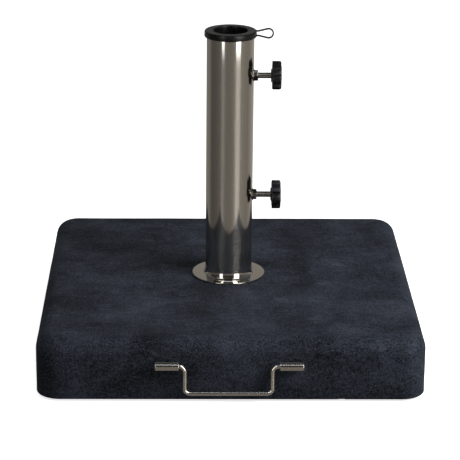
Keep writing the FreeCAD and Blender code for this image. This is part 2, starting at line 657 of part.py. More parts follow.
def wheel_tyre(side):
    """The rubber tyre with rounded shoulders."""
    half = TYRE_WIDTH / 2
    sag = TYRE_ROUND * (1 - math.sqrt(0.5))
    shoulder = WHEEL_RADIUS - TYRE_ROUND
    outline = [
        (TYRE_INNER_RADIUS, -half),
        (shoulder, -half),
        (WHEEL_RADIUS, -half + TYRE_ROUND, (WHEEL_RADIUS - sag, -half + sag)),
        (WHEEL_RADIUS, half - TYRE_ROUND),
        (shoulder, half, (WHEEL_RADIUS - sag, half - sag)),
        (TYRE_INNER_RADIUS, half),
    ]
    tyre = turned(outline, X_AXIS)
    tyre.translate(Vector(side * WHEEL_X, WHEEL_Y, WHEEL_Z))
    return tyre


def main():
    """Build every node and write its STEP file."""
    os.makedirs("parts", exist_ok=True)
    nodes = {
        "stone_slab": stone_slab(),
        "foot_pads": foot_pads(),
        "standpipe": standpipe(),
        "pipe_end_plate": pipe_end_plate(),
        "cover_rosette": cover_rosette(),
        "fixing_bolt": fixing_bolt(),
        "load_washer": load_washer(),
        "spring_washer": spring_washer(),
        "reducing_ring": reducing_ring(),
        "pull_loop": pull_loop(),
        "carry_handle": carry_handle(),
        "bracket_screws": bracket_screws(),
    }
    for level, (height, turned_out, knob_turn, nut_turn) in CLAMP_SCREWS.items():
        nodes[level + "_weld_nut"] = weld_nut(height, nut_turn)
        nodes[level + "_clamp_stud"] = clamp_stud(height, turned_out)
        nodes[level + "_thrust_tip"] = thrust_tip(height, turned_out)
        nodes[level + "_star_knob"] = star_knob(height, turned_out, knob_turn)
    for name, side in SIDES.items():
        nodes[name + "_hinge_barrel"] = hinge_barrel(side)
        nodes[name + "_handle_anchor"] = handle_anchor(side)
        nodes[name + "_wheel_bracket"] = wheel_bracket(side)
        nodes[name + "_wheel_axle"] = wheel_axle(side)
        nodes[name + "_wheel_rim"] = wheel_rim(side)
        nodes[name + "_wheel_tyre"] = wheel_tyre(side)
    for name, shape in nodes.items():
        export(name, shape)
        extent = shape.BoundBox
        print(f"{name}: valid {shape.isValid()}, solids {len(shape.Solids)}, volume {shape.Volume:.1f}, "
              f"x {extent.XMin:.1f}..{extent.XMax:.1f}, y {extent.YMin:.1f}..{extent.YMax:.1f}, "
              f"z {extent.ZMin:.1f}..{extent.ZMax:.1f}")


main()
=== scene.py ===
"""Parasol base: a granite slab with a stainless standpipe, two clamp screws, a bail handle and two wheels.

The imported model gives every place. This script builds the surfaces that are seen, gives them their finishes,
and sets up a plain studio with one camera. Metres; +Z up; the handle is on the -Y side.
"""

import logging
import math
from dataclasses import dataclass, field
from enum import Enum
from typing import Any, Optional, Sequence

import bmesh
import bpy
from bmesh.types import BMesh, BMEdge, BMVert
from bpy.types import Material, Node, NodeSocket, NodeTree, Object
from mathutils import Matrix, Vector, noise


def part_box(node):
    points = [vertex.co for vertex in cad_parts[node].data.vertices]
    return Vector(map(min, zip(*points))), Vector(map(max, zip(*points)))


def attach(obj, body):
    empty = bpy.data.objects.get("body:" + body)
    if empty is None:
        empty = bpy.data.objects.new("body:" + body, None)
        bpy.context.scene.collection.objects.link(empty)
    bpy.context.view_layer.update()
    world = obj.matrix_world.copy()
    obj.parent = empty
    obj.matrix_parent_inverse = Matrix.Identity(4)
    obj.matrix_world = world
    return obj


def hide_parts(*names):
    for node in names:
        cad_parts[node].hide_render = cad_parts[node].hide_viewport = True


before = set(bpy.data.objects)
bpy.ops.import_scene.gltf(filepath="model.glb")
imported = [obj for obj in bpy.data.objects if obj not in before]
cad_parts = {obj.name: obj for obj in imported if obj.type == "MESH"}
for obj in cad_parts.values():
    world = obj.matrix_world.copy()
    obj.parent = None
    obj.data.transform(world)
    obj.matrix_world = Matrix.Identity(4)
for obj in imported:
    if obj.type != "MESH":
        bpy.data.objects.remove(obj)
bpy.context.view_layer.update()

LOG = logging.getLogger("parasol_base")
MM = 0.001
FULL_TURN = 2.0 * math.pi
MERGE_DISTANCE = 0.002 * MM
ALONG_X = Matrix.Rotation(math.radians(90.0), 4, "Y")


class Side(Enum):
    """The two halves of the base, each with the sign of its X."""

    LEFT = -1
    RIGHT = 1

    @property
    def label(self) -> str:
        """The side's name as it stands in node names."""
        return self.name.lower()


class Level(Enum):
    """The two clamp screws, each with the turn of its knob in degrees."""

    UPPER = 77.14
    LOWER = 90.0

    @property
    def label(self) -> str:
        """The level's name as it stands in node names."""
        return self.name.lower()


# ---------------------------------------------------------------------------------------------
# Nodes and finishes
# ---------------------------------------------------------------------------------------------


def linear(code: str) -> tuple[float, float, float, float]:
    """Turn an sRGB hex colour into linear light.

    Args:
        code: Six hex digits after a hash.

    Returns:
        The colour as linear red, green and blue, with an alpha of 1.
    """
    parts = [int(code[start:start + 2], 16) / 255.0 for start in (1, 3, 5)]
    red, green, blue = [p / 12.92 if p <= 0.04045 else ((p + 0.055) / 1.055) ** 2.4 for p in parts]
    return red, green, blue, 1.0


def grey(value: float) -> tuple[float, float, float, float]:
    """A neutral linear colour of one value."""
    return value, value, value, 1.0


def add_node(tree: NodeTree, kind: str, inputs: Optional[dict[Any, Any]] = None,
             stops: Sequence[tuple[float, Sequence[float]]] = (), **settings: Any) -> Node:
    """Add one node with its settings, its input values and its links.

    Args:
        tree: The node tree that gets the node.
        kind: The node's type name.
        inputs: A value, or a socket to link from, for each input by name or number.
        stops: Places and colours of a colour ramp, in rising order.
        settings: Properties of the node itself.

    Returns:
        The new node.
    """
    node = tree.nodes.new(kind)
    for name, value in settings.items():
        setattr(node, name, value)
    for key, source in (inputs or {}).items():
        if isinstance(source, NodeSocket):
            tree.links.new(source, node.inputs[key])
        else:
            node.inputs[key].default_value = source
    for index, (place, colour) in enumerate(stops):
        elements = node.color_ramp.elements
        element = elements[index] if index < 2 else elements.new(place)
        element.position = place
        element.color = colour
    return node


def per_mm(size: float) -> float:
    """The scale of a texture on metre coordinates whose features are this many millimetres apart."""
    return 1.0 / (size * MM)


def noise_field(tree: NodeTree, place: NodeSocket, size: float, detail: float, roughness: float = 0.5,
                distortion: float = 0.0) -> NodeSocket:
    """A noise whose features are of one size, in millimetres."""
    return add_node(tree, "ShaderNodeTexNoise", {
        "Vector": place, "Scale": per_mm(size), "Detail": detail, "Roughness": roughness,
        "Distortion": distortion}).outputs["Fac"]


def remap(tree: NodeTree, value: NodeSocket, low: float, high: float, least: float,
          most: float) -> NodeSocket:
    """A value's stretch from low to high, laid on least to most and held at its ends."""
    return add_node(tree, "ShaderNodeMapRange", {"Value": value, "From Min": low, "From Max": high,
                                                 "To Min": least, "To Max": most}).outputs[0]


def mix_colours(tree: NodeTree, mask: NodeSocket, below: Any, above: Any, how: str = "MIX") -> NodeSocket:
    """Two colours mixed by a mask."""
    return add_node(tree, "ShaderNodeMix", {0: mask, 6: below, 7: above}, data_type="RGBA",
                    blend_type=how).outputs[2]


def maths(tree: NodeTree, operation: str, *values: Any) -> NodeSocket:
    """One step of arithmetic on values and sockets."""
    return add_node(tree, "ShaderNodeMath", dict(enumerate(values)), operation=operation).outputs[0]


def bump(tree: NodeTree, height: NodeSocket, strength: float, depth: float) -> NodeSocket:
    """A normal from a field of heights, with its depth in millimetres."""
    return add_node(tree, "ShaderNodeBump", {"Height": height, "Strength": strength,
                                             "Distance": depth * MM}).outputs[0]


@dataclass(frozen=True)
class Finish:
    """One surface finish, made as a node material the first time that it is asked for."""

    name: str
    slot: str

    def material(self) -> Material:
        """Give the finish's material.

        Returns:
            The material, shared by every piece with this finish.
        """
        found = bpy.data.materials.get(self.name)
        if found:
            return found
        material = bpy.data.materials.new(self.name)
        material.use_nodes = True
        tree = material.node_tree
        tree.nodes.clear()
        place = add_node(tree, "ShaderNodeTexCoord").outputs["Object"]
        surface = self.shade(tree, place)
        add_node(tree, "ShaderNodeOutputMaterial", {"Surface": surface})
        return material

    def shade(self, tree: NodeTree, place: NodeSocket) -> NodeSocket:
        """Build the finish's nodes.

        Args:
            tree: The material's node tree.
            place: Object coordinates, in metres.

        Returns:
            The shader's output.
        """
        raise NotImplementedError


@dataclass(frozen=True)
class HonedGranite(Finish):
    """Anthracite granite, sawn and brushed: dark, faintly blue and cloudy, with fine crystals and streaks."""

    dark: str = "#0C0E12"
    light: str = "#444954"
    crystal: str = "#565D6E"
    roughness: float = 0.68
    sheen: float = 0.08
    cloud_size: float = 75.0
    wisp_size: float = 16.0
    crystal_size: float = 1.9
    streak_size: float = 4.5
    fleck_size: float = 9.0
    streak_stretch: float = 0.22
    wisp_stretch: float = 0.45
    relief: float = 0.2
    pit_depth: float = 0.09

    def shade(self, tree: NodeTree, place: NodeSocket) -> NodeSocket:
        """Build clouds, brush streaks, pale wisps, crystals and flecks over a rough stone shader."""
        lengthwise, wispy = (
            add_node(tree, "ShaderNodeMapping", {"Vector": place, "Scale": (stretch, 1.0, 1.0)})
            for stretch in (self.streak_stretch, self.wisp_stretch))
        clouds = noise_field(tree, place, self.cloud_size, 5.0, 0.62, 0.4)
        streaks = noise_field(tree, lengthwise.outputs[0], self.streak_size, 3.0, 0.7)
        wisps = noise_field(tree, wispy.outputs[0], self.wisp_size, 6.0, 0.75, 1.2)
        grains = noise_field(tree, place, self.crystal_size, 3.0, 0.75)
        tone = remap(tree, clouds, 0.28, 0.72, 0.04, 0.62)
        for texture, low, high, least, most in ((streaks, 0.35, 0.65, -0.06, 0.06),
                                                (wisps, 0.54, 0.78, 0.0, 0.42),
                                                (grains, 0.35, 0.65, -0.4, 0.4)):
            tone = maths(tree, "ADD", tone, remap(tree, texture, low, high, least, most))
        stone = mix_colours(tree, tone, linear(self.dark), linear(self.light))
        cells = add_node(tree, "ShaderNodeTexVoronoi", {"Vector": place, "Scale": per_mm(self.fleck_size),
                                                        "Randomness": 1.0})
        fleck = remap(tree, cells.outputs["Distance"], 0.05, 0.12, 0.7, 0.0)
        flecked = mix_colours(tree, fleck, stone, linear(self.crystal))
        roughness = remap(tree, grains, 0.3, 0.7, self.roughness - 0.08, self.roughness + 0.1)
        normal = bump(tree, maths(tree, "ADD", grains, streaks), self.relief, self.pit_depth)
        return add_node(tree, "ShaderNodeBsdfPrincipled", {
            "Base Color": flecked, "Roughness": roughness, "Normal": normal, "IOR": 1.5,
            "Specular IOR Level": self.sheen}).outputs[0]


@dataclass(frozen=True)
class BrokenGranite(Finish):
    """The granite's faces inside the chips: coloured darker than the honed faces, dull and coarse."""

    colour: str = "#15161A"
    crystal: str = "#2A2C33"
    crystal_size: float = 1.4

    def shade(self, tree: NodeTree, place: NodeSocket) -> NodeSocket:
        """Build coarse crystals in a dull dark stone."""
        grains = add_node(tree, "ShaderNodeTexVoronoi", {"Vector": place, "Scale": per_mm(self.crystal_size)})
        height = grains.outputs["Distance"]
        stone = mix_colours(tree, height, linear(self.colour), linear(self.crystal))
        return add_node(tree, "ShaderNodeBsdfPrincipled", {
            "Base Color": stone, "Roughness": 0.85, "Normal": bump(tree, height, 0.8, 0.3)}).outputs[0]


@dataclass(frozen=True)
class PolishedSteel(Finish):
    """Polished stainless steel: a crisp mirror under a haze that the fine polishing lines draw out."""

    colour: str = "#C9C4BC"
    roughness: float = 0.09
    haze: float = 0.05
    haze_roughness: float = 0.5
    line_pitch: float = 0.7
    line_stretch: Sequence[float] = (0.02, 0.02, 1.0)
    line_depth: float = 0.0006
    smear_size: float = 38.0
    tangent_axis: str = "Z"
    tangent_turn: float = 0.25

    def shade(self, tree: NodeTree, place: NodeSocket) -> NodeSocket:
        """Build a sharp lobe and a stretched one, both with polishing lines."""
        drawn = add_node(tree, "ShaderNodeMapping", {"Vector": place, "Scale": self.line_stretch}).outputs[0]
        lines = noise_field(tree, drawn, self.line_pitch, 2.0, 0.6)
        smears = noise_field(tree, place, self.smear_size, 3.0)
        roughness = remap(tree, smears, 0.3, 0.7, self.roughness * 0.8, self.roughness * 1.25)
        shared = {"Base Color": linear(self.colour), "Metallic": 1.0,
                  "Normal": bump(tree, lines, 1.0, self.line_depth)}
        mirror = add_node(tree, "ShaderNodeBsdfPrincipled", {**shared, "Roughness": roughness})
        tangent = add_node(tree, "ShaderNodeTangent", direction_type="RADIAL", axis=self.tangent_axis)
        hazy = add_node(tree, "ShaderNodeBsdfPrincipled", {
            **shared, "Roughness": self.haze_roughness, "Anisotropic": 0.95,
            "Anisotropic Rotation": self.tangent_turn, "Tangent": tangent.outputs[0]})
        return add_node(tree, "ShaderNodeMixShader", {0: self.haze, 1: mirror.outputs[0],
                                                      2: hazy.outputs[0]}).outputs[0]


@dataclass(frozen=True)
class ZincSteel(Finish):
    """Plated steel: a bright grey metal, slightly mottled and pitted."""

    colour: str = "#B9BABB"
    dull: str = "#8E8F90"
    roughness: float = 0.3
    mottle_size: float = 3.0
    pit_depth: float = 0.02

    def shade(self, tree: NodeTree, place: NodeSocket) -> NodeSocket:
        """Build a mottled metal shader."""
        mottle = noise_field(tree, place, self.mottle_size, 4.0, 0.6)
        tone = mix_colours(tree, mottle, linear(self.dull), linear(self.colour))
        roughness = remap(tree, mottle, 0.3, 0.7, self.roughness + 0.1, self.roughness - 0.08)
        return add_node(tree, "ShaderNodeBsdfPrincipled", {
            "Base Color": tone, "Metallic": 1.0, "Roughness": roughness,
            "Normal": bump(tree, mottle, 0.5, self.pit_depth)}).outputs[0]


@dataclass(frozen=True)
class MouldedPlastic(Finish):
    """Injection-moulded plastic: an even colour with the fine spark-eroded grain of its mould."""

    colour: str = "#0B0B0C"
    worn: str = "#17171A"
    roughness: float = 0.45
    ior: float = 1.49
    grain_size: float = 0.6
    flow_size: float = 14.0
    grain_depth: float = 0.02

    def shade(self, tree: NodeTree, place: NodeSocket) -> NodeSocket:
        """Build a grained plastic shader."""
        grain = noise_field(tree, place, self.grain_size, 2.0)
        flow = noise_field(tree, place, self.flow_size, 3.0)
        tone = mix_colours(tree, flow, linear(self.colour), linear(self.worn))
        roughness = remap(tree, flow, 0.3, 0.7, self.roughness - 0.05, self.roughness + 0.06)
        return add_node(tree, "ShaderNodeBsdfPrincipled", {
            "Base Color": tone, "Roughness": roughness, "Normal": bump(tree, grain, 0.6, self.grain_depth),
            "IOR": self.ior}).outputs[0]


GRANITE = HonedGranite("Granite, honed and brushed", "granite")
CHIPPED = BrokenGranite("Granite, broken", "granite")
# The pipe is polished on a belt that runs round it, so its lines run round it and lights smear along it.
PIPE_STEEL = PolishedSteel("Stainless steel, satin polished", "satin_stainless")
# The rosette is spun and buffed bright: nearly a mirror.
ROSETTE_STEEL = PolishedSteel("Stainless steel, buffed", "polished_stainless", roughness=0.04, haze=0.02,
                              line_depth=0.0003)
# Drawn bar and tube with lengthwise draw lines, which smear lights round the bar.
ROD_STEEL = PolishedSteel("Stainless steel, drawn and polished", "polished_rod", colour="#CFC9BF",
                          roughness=0.1, haze=0.06, haze_roughness=0.4, line_pitch=0.5,
                          line_stretch=(0.02, 1.0, 1.0), line_depth=0.0007, tangent_axis="X",
                          tangent_turn=0.0)
# Nickel-plated nuts and anchors: mottled like zinc, but warmer, darker and shinier.
FASTENER_STEEL = ZincSteel("Steel, nickel plated", "bright_fasteners", colour="#8F8B84", dull="#6E6A64",
                           roughness=0.16)
# The studs' rolled threads are burnished by the rolls, so their crests shine like a polished bar.
STUD_STEEL = PolishedSteel("Steel, rolled and nickel plated", "bright_fasteners", colour="#BDB7AD",
                           roughness=0.12, haze=0.1, line_pitch=0.5, line_stretch=(0.02, 1.0, 1.0),
                           line_depth=0.0005, tangent_axis="X", tangent_turn=0.0)
ZINC = ZincSteel("Steel, zinc plated", "zinc_plated_steel")
RING_PLASTIC = MouldedPlastic("Polypropylene, matt black", "matte_black_plastic", colour="#070708",
                              worn="#0B0B0C", roughness=0.3, ior=1.4, grain_depth=0.012)
KNOB_PLASTIC = MouldedPlastic("Polyamide, semi-gloss black", "knob_plastic", roughness=0.28,
                              grain_depth=0.008)
NYLON = MouldedPlastic("Nylon, natural white", "white_nylon", colour="#D9D7CE", worn="#E6E4DC", roughness=0.4)
WHEEL_PLASTIC = MouldedPlastic("Polypropylene, grey", "wheel_plastic", colour="#4B4D50", worn="#5A5C5F",
                               roughness=0.5)
WHEEL_RUBBER = MouldedPlastic("Rubber, black", "wheel_rubber", colour="#151515", worn="#222222",
                              roughness=0.75, grain_size=1.1, grain_depth=0.05)
FOOT_RUBBER = MouldedPlastic("EPDM rubber, black", "foot_rubber", colour="#141414", worn="#1E1E1E",
                             roughness=0.8, grain_size=1.4, grain_depth=0.05)


# ---------------------------------------------------------------------------------------------
# Making meshes
# ---------------------------------------------------------------------------------------------


def rounded(corners: Sequence[tuple[float, ...]], closed: bool = True,
            steps: int = 6) -> list[tuple[float, float]]:
    """Round an outline's corners with true arcs.

    Args:
        corners: (radius, height) or (radius, height, fillet) of each corner, in millimetres.
        closed: Whether the last corner runs on to the first.
        steps: Edges in each arc.

    Returns:
        The outline's points, in metres.
    """
    points = []
    count = len(corners)
    for index, corner in enumerate(corners):
        here = Vector(corner[:2])
        fillet = corner[2] if len(corner) > 2 else 0.0
        if fillet == 0.0 or (not closed and index in (0, count - 1)):
            points.append(here)
            continue
        back = (Vector(corners[index - 1][:2]) - here).normalized()
        ahead = (Vector(corners[(index + 1) % count][:2]) - here).normalized()
        half = back.angle(ahead) / 2.0
        centre = here + (back + ahead).normalized() * (fillet / math.sin(half))
        first = here + back * (fillet / math.tan(half)) - centre
        last = here + ahead * (fillet / math.tan(half)) - centre
        sweep = math.pi - 2.0 * half
        sign = 1.0 if first.x * last.y - first.y * last.x > 0.0 else -1.0
        for step in range(steps + 1):
            points.append(centre + Matrix.Rotation(sign * sweep * step / steps, 2) @ first)
    return [(point.x * MM, point.y * MM) for point in points]


def lathe(outline: Sequence[tuple[float, float]], steps: int, place: Matrix, closed: bool = True) -> BMesh:
    """Turn an outline about its own Z axis and set it in place.

    Args:
        outline: (radius, height) points, in metres.
        steps: Facets round the turned shape.
        place: Where the shape's own frame goes.
        closed: Whether the last point joins the first.

    Returns:
        The turned shape.
    """
    bm = bmesh.new()
    points = [bm.verts.new((radius, 0.0, height)) for radius, height in outline]
    for start, end in zip(points, points[1:] + (points[:1] if closed else [])):
        bm.edges.new((start, end))
    bmesh.ops.spin(bm, geom=list(bm.verts) + list(bm.edges), cent=(0, 0, 0), axis=(0, 0, 1), dvec=(0, 0, 0),
                   angle=FULL_TURN, steps=steps, use_merge=True, use_duplicate=False)
    bmesh.ops.remove_doubles(bm, verts=list(bm.verts), dist=MERGE_DISTANCE)
    bmesh.ops.transform(bm, matrix=place, verts=list(bm.verts))
    bmesh.ops.recalc_face_normals(bm, faces=list(bm.faces))
    return bm


def join(target: BMesh, *others: BMesh) -> BMesh:
    """Add other meshes to one, and free them.

    Args:
        target: The mesh that grows.
        others: The meshes that go into it.

    Returns:
        The first mesh.
    """
    for other in others:
        carrier = bpy.data.meshes.new("carrier")
        other.to_mesh(carrier)
        other.free()
        target.from_mesh(carrier)
        bpy.data.meshes.remove(carrier)
    return target


def close_ends(bm: BMesh) -> None:
    """Fill every open loop of edges."""
    open_edges = [edge for edge in bm.edges if edge.is_boundary]
    bmesh.ops.holes_fill(bm, edges=open_edges, sides=0)


@dataclass
class BentBar:
    """A bar drawn out from one end along straight runs and arcs: round, or flat where its width is given."""

    start: Vector
    heading: Vector
    thickness: float
    width: float = 0.0
    sides: int = 32
    bm: BMesh = field(default_factory=bmesh.new)
    ring: list[BMEdge] = field(default_factory=list)

    def __post_init__(self) -> None:
        """Make the bar's first end."""
        place = Matrix.Translation(self.start) @ self.heading.to_track_quat("Z", "Y").to_matrix().to_4x4()
        if self.width > 0.0:
            section = Matrix.Diagonal((self.width / 2.0, self.thickness / 2.0, 1.0)).to_4x4()
            bmesh.ops.create_grid(self.bm, x_segments=1, y_segments=1, size=1.0, matrix=place @ section)
            bmesh.ops.bevel(self.bm, geom=list(self.bm.verts), offset=self.thickness * 0.38, segments=4,
                            profile=0.5, affect="VERTICES", material=-1)
        else:
            bmesh.ops.create_circle(self.bm, cap_ends=True, segments=self.sides, radius=self.thickness / 2.0,
                                    matrix=place)
        self.ring = list(self.bm.edges)

    def straight(self, length: float) -> None:
        """Draw the bar on along its heading by a length."""
        grown = bmesh.ops.extrude_edge_only(self.bm, edges=self.ring)["geom"]
        verts = [item for item in grown if isinstance(item, BMVert)]
        bmesh.ops.translate(self.bm, vec=self.heading * length, verts=verts)
        self.ring = [item for item in grown if isinstance(item, BMEdge)
                     and all(vert in verts for vert in item.verts)]
        self.start = self.start + self.heading * length

    def bend(self, radius: float, angle: float, axis: Vector, steps: int) -> None:
        """Bend the bar about an axis.

        Args:
            radius: The bend's radius at the bar's middle.
            angle: The turn, in radians, right-handed about the axis.
            axis: The axis's direction.
            steps: Rings in the bend.
        """
        inward = axis.cross(self.heading).normalized() * math.copysign(1.0, angle)
        centre = self.start + inward * radius
        verts = list({vert for edge in self.ring for vert in edge.verts})
        last = bmesh.ops.spin(self.bm, geom=verts + self.ring, cent=centre, axis=axis, dvec=(0, 0, 0),
                              angle=angle, steps=steps, use_merge=False, use_duplicate=False)["geom_last"]
        self.ring = [item for item in last if isinstance(item, BMEdge)]
        turn = Matrix.Rotation(angle, 3, axis)
        self.start = centre + turn @ (self.start - centre)
        self.heading = (turn @ self.heading).normalized()

    def finish(self) -> BMesh:
        """Close the bar's last end and give its mesh."""
        close_ends(self.bm)
        bmesh.ops.recalc_face_normals(self.bm, faces=list(self.bm.faces))
        return self.bm


def threaded_bar(radius: float, pitch: float, depth: float, length: float, place: Matrix) -> BMesh:
    """Make a bar with a rolled helical thread along its own Z axis.

    Args:
        radius: The crest's radius, in metres.
        pitch: The thread's rise in one turn, in metres.
        depth: From crest to root, in metres.
        length: The bar's length, in metres.
        place: Where the bar's own frame goes.

    Returns:
        The bar, closed at both ends.
    """
    steps_each_turn = 40
    turns = math.ceil(length / pitch) + 2
    root = radius - depth
    shape = [(root, 0.0), (root, 0.06), (radius, 0.16), (radius, 0.9), (root, 1.0)]
    bm = bmesh.new()
    points = [bm.verts.new((r, 0.0, (rise - 1.0) * pitch)) for r, rise in shape]
    for start, end in zip(points, points[1:]):
        bm.edges.new((start, end))
    bmesh.ops.spin(bm, geom=list(bm.verts) + list(bm.edges), cent=(0, 0, 0), axis=(0, 0, 1),
                   dvec=(0, 0, pitch / steps_each_turn), angle=FULL_TURN * turns,
                   steps=steps_each_turn * turns, use_merge=False, use_duplicate=False)
    bmesh.ops.remove_doubles(bm, verts=list(bm.verts), dist=MERGE_DISTANCE)
    for height, outward in ((0.0, -1.0), (length, 1.0)):
        bmesh.ops.bisect_plane(bm, geom=list(bm.verts) + list(bm.edges) + list(bm.faces), dist=MERGE_DISTANCE,
                               plane_co=(0, 0, height), plane_no=(0, 0, outward), clear_outer=True)
    close_ends(bm)
    bmesh.ops.transform(bm, matrix=place, verts=list(bm.verts))
    bmesh.ops.recalc_face_normals(bm, faces=list(bm.faces))
    return bm


def softened(node: str, edge_round: float, sharpest: float = 40.0) -> BMesh:
    """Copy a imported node's mesh and round its sharp edges.

    Args:
        node: The node's name.
        edge_round: The width of the rounding, in metres.
        sharpest: The angle past which an edge is rounded, in degrees.

    Returns:
        The rounded copy.
    """
    bm = bmesh.new()
    bm.from_mesh(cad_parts[node].data)
    bmesh.ops.remove_doubles(bm, verts=list(bm.verts), dist=MERGE_DISTANCE)
    bmesh.ops.dissolve_limit(bm, angle_limit=math.radians(0.5), use_dissolve_boundaries=False,
                             verts=list(bm.verts), edges=list(bm.edges), delimit=set())
    sharp = [edge for edge in bm.edges
             if edge.is_manifold and edge.calc_face_angle(0.0) > math.radians(sharpest)]
    bmesh.ops.bevel(bm, geom=sharp, offset=edge_round, segments=2, profile=0.5, affect="EDGES", material=-1,
                    clamp_overlap=True)
    return bm


def to_object(name: str, bm: BMesh, smooth: float) -> Object:
    """Turn a mesh into an object at the origin and free it.

    Args:
        name: The object's name.
        bm: The mesh, in the row's frame.
        smooth: The angle past which an edge stays sharp, in degrees.

    Returns:
        The object.
    """
    mesh = bpy.data.meshes.new(name)
    bm.to_mesh(mesh)
    bm.free()
    mesh.shade_smooth()
    mesh.set_sharp_from_angle(angle=math.radians(smooth))
    piece = bpy.data.objects.new(name, mesh)
    bpy.context.scene.collection.objects.link(piece)
    return piece


def cut_away(piece: Object, cutter: BMesh) -> None:
    """Cut a shape out of a piece, and apply the cut.

    Args:
        piece: The piece.
        cutter: The shape that is cut out.
    """
    tool = bpy.data.objects.new("cutter", bpy.data.meshes.new("cutter"))
    cutter.to_mesh(tool.data)
    cutter.free()
    bpy.context.scene.collection.objects.link(tool)
    for slot in piece.material_slots:
        tool.data.materials.append(slot.material)
    cut = piece.modifiers.new("cut", "BOOLEAN")
    cut.operation = "DIFFERENCE"
    cut.solver = "EXACT"
    cut.object = tool
    graph = bpy.context.evaluated_depsgraph_get()
    whole = piece.data
    piece.data = bpy.data.meshes.new_from_object(piece.evaluated_get(graph))
    piece.modifiers.clear()
    bpy.data.meshes.remove(whole)
    bpy.data.objects.remove(tool)


def place_piece(piece: Object, finish: Finish, body: str, stands_for: Sequence[str] = ()) -> Object:
    """Dress a piece and hand it to its body.

    Args:
        piece: The finished object.
        finish: Its finish.
        body: The body that it rides on.
        stands_for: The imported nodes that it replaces.

    Returns:
        The piece.
    """
    if not piece.data.materials:
        piece.data.materials.append(finish.material())
    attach(piece, body)
    if stands_for:
        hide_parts(*stands_for)
    LOG.info("%s: %d faces, %s, on %s", piece.name, len(piece.data.polygons), finish.name, body)
    return piece


def make_piece(name: str, bm: BMesh, finish: Finish, body: str, stands_for: Sequence[str] = (),
               smooth: float = 32.0) -> Object:
    """Turn a mesh into a dressed piece on its body."""
    return place_piece(to_object(name, bm, smooth), finish, body, stands_for)


def dress(node: str, finish: Finish) -> None:
    """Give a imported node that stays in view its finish."""
    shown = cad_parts[node]
    for slot in shown.material_slots:
        slot.material = finish.material()
    LOG.info("%s: packed mesh, %s", node, finish.name)


# ---------------------------------------------------------------------------------------------
# Sub-assemblies
# ---------------------------------------------------------------------------------------------


@dataclass(frozen=True)
class Chip:
    """One small break in the slab's edge or face: its middle and its size, in millimetres."""

    x: float
    y: float
    z: float
    width: float
    height: float
    depth: float


